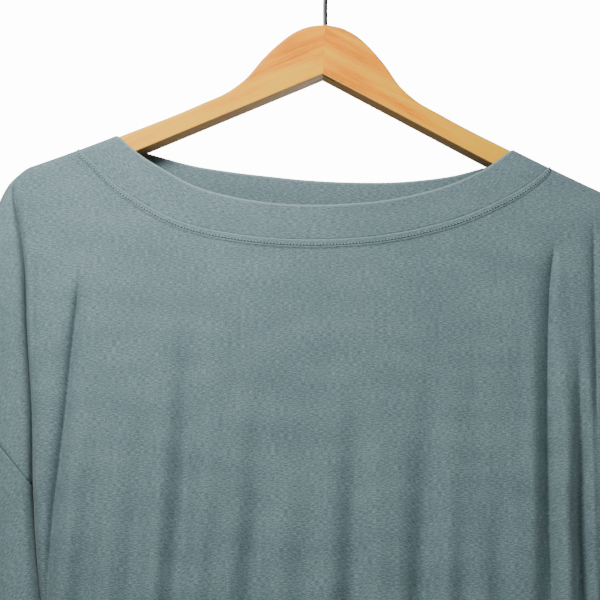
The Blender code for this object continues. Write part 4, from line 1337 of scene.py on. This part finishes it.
def panel_patches(face, cloth):
    """Grids of one panel with its seams, hem and cloth coordinates, and its stitch lines."""
    body, neck = body_grid(face)
    wings = {side: wing_grid(face, side, body) for side in SIDES}
    normals = grid_normals(body, outward_of(body, face))
    from_top = distance_from_edge(body)
    column = np.arange(body.shape[1])
    inside = np.minimum(column - neck[0], neck[1] - 1 - column)
    at_neck = smoothstep(inside / NECK_END_COLUMNS)
    neck_row = settings("stitches").neck_drop / MM
    relief = seam_relief(from_top) + pinch(from_top, neck_row)
    height = np.clip(np.abs(body[0, :, 1]) / MM / ARCH_HALF, 0.0, 1.0)
    relief = relief * (1.0 + SHOULDER_PROUD * (1.0 - height))
    relief = relief * at_neck + seam_relief(from_top, allowance=False) * (1 - at_neck)
    relief = relief + hem_relief(distance_from_edge(body, last=True), cloth.hem_depth)
    edge = np.ones(len(column))
    edge[[0, -1]] = 0.0
    edge[[1, -2]] = 0.5
    body = dressed(body, normals, relief * edge)
    down = np.array((0.0, 0.0, -1.0))
    leaf = folded_edge(body, normals, cloth.hem_depth, cloth.wall, down)
    whole = np.concatenate((body, leaf))
    body_uv = grid_uv(body, 0.0, 1.0)
    leaf_uv = body_uv[-1] + np.arange(1, len(leaf) + 1)[:, None, None] * (0.0, UV_LEAF_STEP)
    flip = face == "back"
    # Painted highlight along the crest of the rolled edge at the neck seam
    pale = np.zeros(whole.shape[:2])
    crest = (from_top - ALLOWANCE_START) / CLOTH_HIGHLIGHT_WIDTH
    pale[: len(body)] = at_neck * np.exp(-crest ** 2)
    patches = [(whole, np.concatenate((body_uv, leaf_uv)), flip, pale)]
    for side, wing in wings.items():
        relief = seam_relief(distance_from_edge(wing, last=True), allowance=False)
        relief[:, 0] = 0.0
        wing = dressed(wing, grid_normals(wing, outward_of(wing, face)), relief)
        wing[:, 0] = body[: len(wing), 0 if side == "left" else -1]
        patches.append((wing, grid_uv(wing, WING_GRAIN, SIDES[side]), flip == (side == "right"),
                        np.zeros(wing.shape[:2])))
    at_stitches = slice(neck[0] + NECK_ROW_SHORT, neck[1] - NECK_ROW_SHORT)
    neck_lines = [stitch_line(body, normals, neck_row)[at_stitches]]
    hem_lines = [stitch_line(body, normals, row, last=True)[1:-1]
                 for row in hem_rows(cloth.hem_depth)]
    return patches, neck_lines, hem_lines


class CROPTOP_OT_panels(bpy.types.Operator):
    """Make the front and the back with their wings, hems and rows of stitches"""

    bl_idname = "crop_top.panels"
    bl_label = "Front and back"

    def execute(self, context):
        cloth, stitches = settings("cloth"), settings("stitches")
        for face in FACES:
            slot = face + "_panel"
            patches, neck_lines, hem_lines = panel_patches(face, cloth)
            mesh = cloth_mesh("jersey_" + face, patches)
            obj = place_cloth("jersey_" + face, mesh, cloth.wall, slot)
            neck = stitch_rows(
                "neck_stitches_" + face, neck_lines, stitches.neck_pitch)
            hem = stitch_rows("hem_stitches_" + face, hem_lines, stitches.hem_pitch)
            shade_dots = stitch_rows(
                "neck_holes_" + face, neck_lines, stitches.neck_pitch, shade_dots=True)
        return {"FINISHED"}


class CROPTOP_OT_neckband(bpy.types.Operator):
    """Make the doubled neckband"""

    bl_idname = "crop_top.neckband"
    bl_label = "Neckband"

    def execute(self, context):
        rows = []
        for lower in (*BAND_SEAM_PARTS, *np.linspace(BAND_LEAF_START, 0.0, BAND_LEAF_ROWS)):
            paths = {face: neck_samples(face, lower) for face in FACES}
            rows.append({face: (*path, form_at(face, *path)) for face, path in paths.items()})
        sheet, normals = tube_grid(rows)
        relief = seam_relief(distance_from_edge(sheet), allowance=False) + BAND_OUTER
        outer = dressed(sheet, normals, relief)
        edge, normal, up = outer[-1], normals[-1], end_run(sheet)
        radius = BAND_DEPTH / 2 * MM
        turns = np.linspace(0.0, math.pi, FOLD_OVER_STEPS + 3)[1:]
        over = [edge + up * radius * math.sin(t) - normal * radius * (1 - math.cos(t))
                for t in turns]
        inner = dressed(sheet, normals, np.full(sheet.shape[:2], BAND_OUTER - BAND_DEPTH))
        whole = np.concatenate((outer, np.stack(over), inner[::-1][1:]))
        ring = np.concatenate((whole, whole[:, :1]), axis=1)
        # Painted highlight along the neckband's folded top edge
        pale = np.zeros(whole.shape[:2])
        to_top = distance_from_edge(outer, last=True)
        pale[: len(outer)] = np.exp(-(to_top / CLOTH_HIGHLIGHT_WIDTH) ** 2)
        pale[len(outer) : len(outer) + len(over)] = 1.0
        patch = (whole, ring_uv(ring), True, pale)
        mesh = cloth_mesh("jersey_neckband", [patch], closed=True)
        obj = place_cloth("jersey_neckband", mesh, settings("cloth").wall, "neckband")
        return {"FINISHED"}


def sleeve_rows(side):
    """Rows round a sleeve, from its seam down to the cuff."""
    sign = SIDES[side]
    outs, drops, _ = OUTLINES[side]
    split_drop = drop_at_fraction(side, UNDERARM_PART)
    seam_drop = float(outline_drop(side, TIP_OUT[side] + SEAM_PAST))
    cuff_drop = float(outline_drop(side, TIP_OUT[side] + CUFF_PAST))
    across = wing_columns(WING_EASE)
    rows = []
    for down in (*SLEEVE_NEAR, *np.linspace(SLEEVE_EVEN_START, 1.0, SLEEVE_ROWS)):
        inner_drop = split_drop + SLEEVE_INNER_LENGTH * down
        outer_drop = seam_drop + (cuff_drop - seam_drop) * down
        below = inner_drop - split_drop
        gap = SLEEVE_SIDE_GAP * smoothstep(below / SPLIT_LENGTH)
        inner_out = side_line_out(side, inner_drop) + gap
        out = inner_out + (np.interp(outer_drop, drops, outs) - inner_out) * across
        drop = inner_drop + (outer_drop - inner_drop) * across
        x, below = sign * out, np.full(out.shape, max(below, 0.0))
        rows.append({face: (x, drop, wing_form(face, side, x, drop, below)) for face in FACES})
    return rows


class CROPTOP_OT_sleeves(bpy.types.Operator):
    """Make both sleeves with their folded cuffs and stitches"""

    bl_idname = "crop_top.sleeves"
    bl_label = "Sleeves"

    def execute(self, context):
        cloth, stitches = settings("cloth"), settings("stitches")
        for side, sign in SIDES.items():
            sheet, normals = tube_grid(sleeve_rows(side))
            relief = seam_relief(distance_from_edge(sheet), allowance=False)
            from_cuff = distance_from_edge(sheet, last=True)
            relief = relief + hem_relief(from_cuff, cloth.cuff_depth)
            sheet = dressed(sheet, normals, relief)
            leaf = folded_edge(sheet, normals, cloth.cuff_depth, cloth.wall, end_run(sheet))
            whole = np.concatenate((sheet, leaf))
            ring = np.concatenate((whole, whole[:, :1]), axis=1)
            name = "jersey_sleeve_" + side
            uv = grid_uv(ring, WING_GRAIN, sign)
            patch = (whole, uv, side == "left", np.zeros(whole.shape[:2]))
            mesh = cloth_mesh(name, [patch], closed=True)
            slot = "sleeve_" + side
            obj = place_cloth(name, mesh, cloth.wall, slot)
            lines = [stitch_line(sheet, normals, row, last=True)
                     for row in hem_rows(cloth.cuff_depth)]
            rows = stitch_rows(
                "cuff_stitches_" + side, lines, stitches.hem_pitch, cyclic=True)
        return {"FINISHED"}


def arm_section(upper, lower, half, hanger):
    """Ring round an arm at one place along it, as y and drop, with its edges rounded."""
    tall = lower - upper
    top = min(hanger.top_round / MM, ROUND_LIMIT * tall, half)
    low = min(hanger.low_round / MM, ROUND_LIMIT * tall, half)
    near = SUPPORT_ROW * min(1.0, tall / WOOD_THICKNESS)
    halves = []
    for radius, edge, up in ((top, upper, 1.0), (low, lower, -1.0)):
        corner = [(-half, edge + up * (radius + near))]
        for turn in np.linspace(0.0, math.pi / 2, ROUND_POINTS):
            corner.append((-half + radius * (1 - math.cos(turn)),
                           edge + up * radius * (1 - math.sin(turn))))
        corner.append((-half + radius + near * half / WOOD_THICKNESS, edge))
        mirrored = [(-y, drop) for y, drop in corner[::-1]]
        halves.append(corner + mirrored)
    return halves[0] + halves[1][::-1]


def arm_sections(hanger):
    """Sections of an arm from the mitre to the tip: out, then the ring."""
    straight = WOOD_HALF_WIDTH - WOOD_TIP_ROUND
    start = MITRE_GAP / 2 + MITRE_ROUND
    upper, lower = float(arm_upper(start)), float(arm_lower(start))
    inset = arm_section(upper + MITRE_ROUND, lower - MITRE_ROUND,
                        WOOD_THICKNESS / 2 - MITRE_ROUND, hanger)
    sections = [(MITRE_GAP / 2, inset)]
    even = np.linspace(start + FIRST_STATION, straight, ARM_STATIONS)
    outs = np.concatenate(([start], even))
    for out in outs:
        upper, lower = float(arm_upper(out)), float(arm_lower(out))
        sections.append((out, arm_section(upper, lower, WOOD_THICKNESS / 2, hanger)))
    tall = (lower - upper) / 2
    for turn in np.linspace(0.0, math.pi / 2, TIP_SECTIONS + 1)[1:]:
        out = straight + WOOD_TIP_ROUND * math.sin(turn)
        middle = float(arm_lower(out)) - tall
        high = max(tall * math.cos(turn), TIP_HALF_HEIGHT)
        half = WOOD_THICKNESS / 2 * (1 - TIP_THINNING * (1 - math.cos(turn)))
        sections.append((out, arm_section(middle - high, middle + high, half, hanger)))
    return sections


def stacked_mesh(name, rings):
    """Closed solid through a stack of rings."""
    bm = bmesh.new()
    rows = [[bm.verts.new(point) for point in ring] for ring in rings]
    count = len(rows[0])
    for low, high in zip(rows, rows[1:]):
        for index in range(count):
            after = (index + 1) % count
            bm.faces.new((low[index], low[after], high[after], high[index]))
    bm.faces.new(rows[0][::-1])
    bm.faces.new(rows[-1])
    bmesh.ops.recalc_face_normals(bm, faces=bm.faces)
    mesh = bpy.data.meshes.new(name)
    bm.to_mesh(mesh)
    bm.free()
    mesh.shade_smooth()
    mesh.set_sharp_from_angle(angle=SHARP_ANGLE)
    return mesh


def on_hanger(sign, out, y, drop):
    """World place, in metres, of a place on the level hanger."""
    x, fallen = tilted(sign * out, drop)
    return (x * MM, y * MM, -(HOOK_TO_WOOD + fallen) * MM)


def under_plate(name, side, y_from, y_to, proud):
    """Thin plate let into an arm's underside beside the mitre."""
    rings = []
    for out in (0.0, KEY_LENGTH):
        low = float(arm_lower(out)) + proud
        corners = ((y_from, low), (y_to, low), (y_to, low - KEY_DEPTH), (y_from, low - KEY_DEPTH))
        rings.append([on_hanger(SIDES[side], out, y, drop) for y, drop in corners])
    return stacked_mesh(name, rings)


class CROPTOP_OT_arms(bpy.types.Operator):
    """Make both arms of the wooden hanger"""

    bl_idname = "crop_top.arms"
    bl_label = "Hanger arms"

    def execute(self, context):
        hanger = settings("hanger")
        for side, sign in SIDES.items():
            rings = [[on_hanger(sign, out, y, drop) for y, drop in ring]
                     for out, ring in arm_sections(hanger)]
            name = "wooden_arm_" + side
            mesh = stacked_mesh(name, rings)
            mesh.materials.append(wood_material(side))
            plain_piece(name, mesh, ["hanger_arm_" + side])
        return {"FINISHED"}


class CROPTOP_OT_key(bpy.types.Operator):
    """Make the key that joins the arms under the mitre, and a dark plate of painted shadow in the
    slot beside it
    """

    bl_idname = "crop_top.key"
    bl_label = "Mitre key"

    def execute(self, context):
        key, slot = wood_material("key"), plain_material("slot_shade")
        for side in SIDES:
            # The slot is drawn as a thin dark plate of painted shadow, just proud of the
            # underside
            plates = (("key", key, KEY_REACH, KEY_PROUD),
                      ("slot", slot, SLOT_SHADOW_REACH[side], SLOT_SHADOW_PROUD))
            for part, material, reach, proud in plates:
                name = "mitre_%s_%s" % (part, side)
                mesh = under_plate(name, side, *reach, proud)
                mesh.materials.append(material)
                plain_piece(name, mesh)
        return {"FINISHED"}


class CROPTOP_OT_hook(bpy.types.Operator):
    """Make the bent wire hook"""

    bl_idname = "crop_top.hook"
    bl_label = "Hook"

    def execute(self, context):
        wire = settings("hanger").wire
        radius = HOOK_INSIDE_RADIUS + wire / MM / 2
        centre = -HOOK_INSIDE_RADIUS
        low = centre - radius
        points = [(0.0, -(HOOK_TO_WOOD + SHANK_IN_WOOD)), (0.0, low - HOOK_NECK_BEND)]
        points.append((HOOK_NECK_BEND / 4, low + HOOK_NECK_RISE))
        degrees = np.linspace(HOOK_START_ANGLE, HOOK_OPEN_ANGLE, HOOK_BEND_POINTS)
        for turn in np.radians(degrees):
            points.append((radius * math.cos(turn), centre + radius * math.sin(turn)))
        steps = np.arange(len(points), dtype=float)
        fine = np.linspace(0.0, steps[-1], HOOK_PATH_POINTS)
        x, z = [smooth_path(steps, column, fine) for column in np.array(points).T]
        curve = bpy.data.curves.new("wire_hook", "CURVE")
        curve.dimensions = "3D"
        curve.bevel_depth = wire / 2
        curve.bevel_resolution = WIRE_BEVEL_STEPS
        curve.use_fill_caps = True
        spline = curve.splines.new("POLY")
        spline.points.add(len(fine) - 1)
        for point, px, pz in zip(spline.points, x, z):
            point.co = (px * MM, 0.0, pz * MM, 1.0)
        spline.use_smooth = True
        curve.materials.append(wire_material())
        plain_piece("wire_hook", curve, ["hanger_hook"])
        return {"FINISHED"}


class CROPTOP_OT_stage(bpy.types.Operator):
    """Make the pale floor, the soft light and the camera"""

    bl_idname = "crop_top.stage"
    bl_label = "Stage"

    def paint_sky(self, tree, stage):
        """White behind the object, and even light that comes mostly from above."""
        place = add(tree, "ShaderNodeTexCoord").outputs["Generated"]
        up = add(tree, "ShaderNodeSeparateXYZ", {0: place}).outputs["Z"]
        rise = add(tree, "ShaderNodeMapRange", {
            "Value": up, "From Min": SKY_RISE[0], "From Max": SKY_RISE[1],
            "To Min": 0.0, "To Max": stage.sky})
        light = tree.nodes["Background"]
        feed(tree, light, {"Color": WHITE, "Strength": rise.outputs["Result"]})
        seen = add(tree, "ShaderNodeBackground", {"Color": WHITE, "Strength": stage.backdrop})
        path = add(tree, "ShaderNodeLightPath")
        mix = add(tree, "ShaderNodeMixShader", {
            0: path.outputs["Is Camera Ray"], 1: light.outputs[0], 2: seen.outputs[0]})
        feed(tree, tree.nodes["World Output"], {"Surface": mix.outputs[0]})

    def execute(self, context):
        stage = settings("stage")
        scene = context.scene
        low = CAD_BOX[0][2] - stage.floor_gap
        half = stage.floor_size / 2
        mesh = bpy.data.meshes.new("studio_floor")
        corners = [(-half, -half, low), (half, -half, low), (half, half, low), (-half, half, low)]
        mesh.from_pydata(corners, [], [(0, 1, 2, 3)])
        mesh.materials.append(plain_material("pale_floor"))
        floor = bpy.data.objects.new("studio_floor", mesh)
        scene.collection.objects.link(floor)
        world = bpy.data.worlds.new("studio")
        world.use_nodes = True
        self.paint_sky(world.node_tree, stage)
        scene.world = world
        for name, (place, aim, size, power) in LIGHTS.items():
            data = bpy.data.lights.new(name, "AREA")
            data.shape = "SQUARE"
            data.size = size
            data.energy = getattr(stage, power)
            light = bpy.data.objects.new(name, data)
            light.location = place
            run = [a - b for a, b in zip(aim, place)]
            pitch = math.atan2(run[2], math.hypot(run[0], run[1])) + math.pi / 2
            light.rotation_euler = (pitch, 0.0, math.atan2(-run[0], run[1]))
            scene.collection.objects.link(light)
        camera = bpy.data.cameras.new("photo_camera")
        camera.lens = stage.focal
        camera.sensor_width = SENSOR_WIDTH
        camera.clip_start, camera.clip_end = CLIP_RANGE
        eye = bpy.data.objects.new("photo_camera", camera)
        eye.location = CAMERA_PLACE
        eye.rotation_euler = (CAMERA_PITCH, 0.0, 0.0)
        scene.collection.objects.link(eye)
        scene.camera = eye
        return {"FINISHED"}


OPERATORS = (
    CROPTOP_OT_stage,
    CROPTOP_OT_arms,
    CROPTOP_OT_key,
    CROPTOP_OT_hook,
    CROPTOP_OT_panels,
    CROPTOP_OT_neckband,
    CROPTOP_OT_sleeves,
)
GROUPS = {
    "cloth": CropTopCloth,
    "stitches": CropTopStitches,
    "hanger": CropTopHanger,
    "stage": CropTopStage,
}


class CROPTOP_PT_panel(bpy.types.Panel):
    """Lists the steps that make the crop top"""

    bl_idname = "CROPTOP_PT_panel"
    bl_label = "Crop top on a hanger"
    bl_space_type = "VIEW_3D"
    bl_region_type = "UI"
    bl_category = "Crop top"

    def draw(self, context):
        for operator in OPERATORS:
            self.layout.operator(operator.bl_idname)
        for name, group in GROUPS.items():
            box = self.layout.box()
            for prop in group.__annotations__:
                box.prop(settings(name), prop)


def register():
    for group in GROUPS.values():
        bpy.utils.register_class(group)
    for name, group in GROUPS.items():
        setattr(bpy.types.Scene, "crop_top_" + name, bpy.props.PointerProperty(type=group))
    for operator in OPERATORS:
        bpy.utils.register_class(operator)
    bpy.utils.register_class(CROPTOP_PT_panel)


def unregister():
    bpy.utils.unregister_class(CROPTOP_PT_panel)
    for operator in reversed(OPERATORS):
        bpy.utils.unregister_class(operator)
    for name, group in GROUPS.items():
        delattr(bpy.types.Scene, "crop_top_" + name)
        bpy.utils.unregister_class(group)


def main():
    register()
    bpy.ops.crop_top.stage()
    bpy.ops.crop_top.arms()
    bpy.ops.crop_top.key()
    bpy.ops.crop_top.hook()
    bpy.ops.crop_top.panels()
    bpy.ops.crop_top.neckband()
    bpy.ops.crop_top.sleeves()


if __name__ == "__main__":
    main()
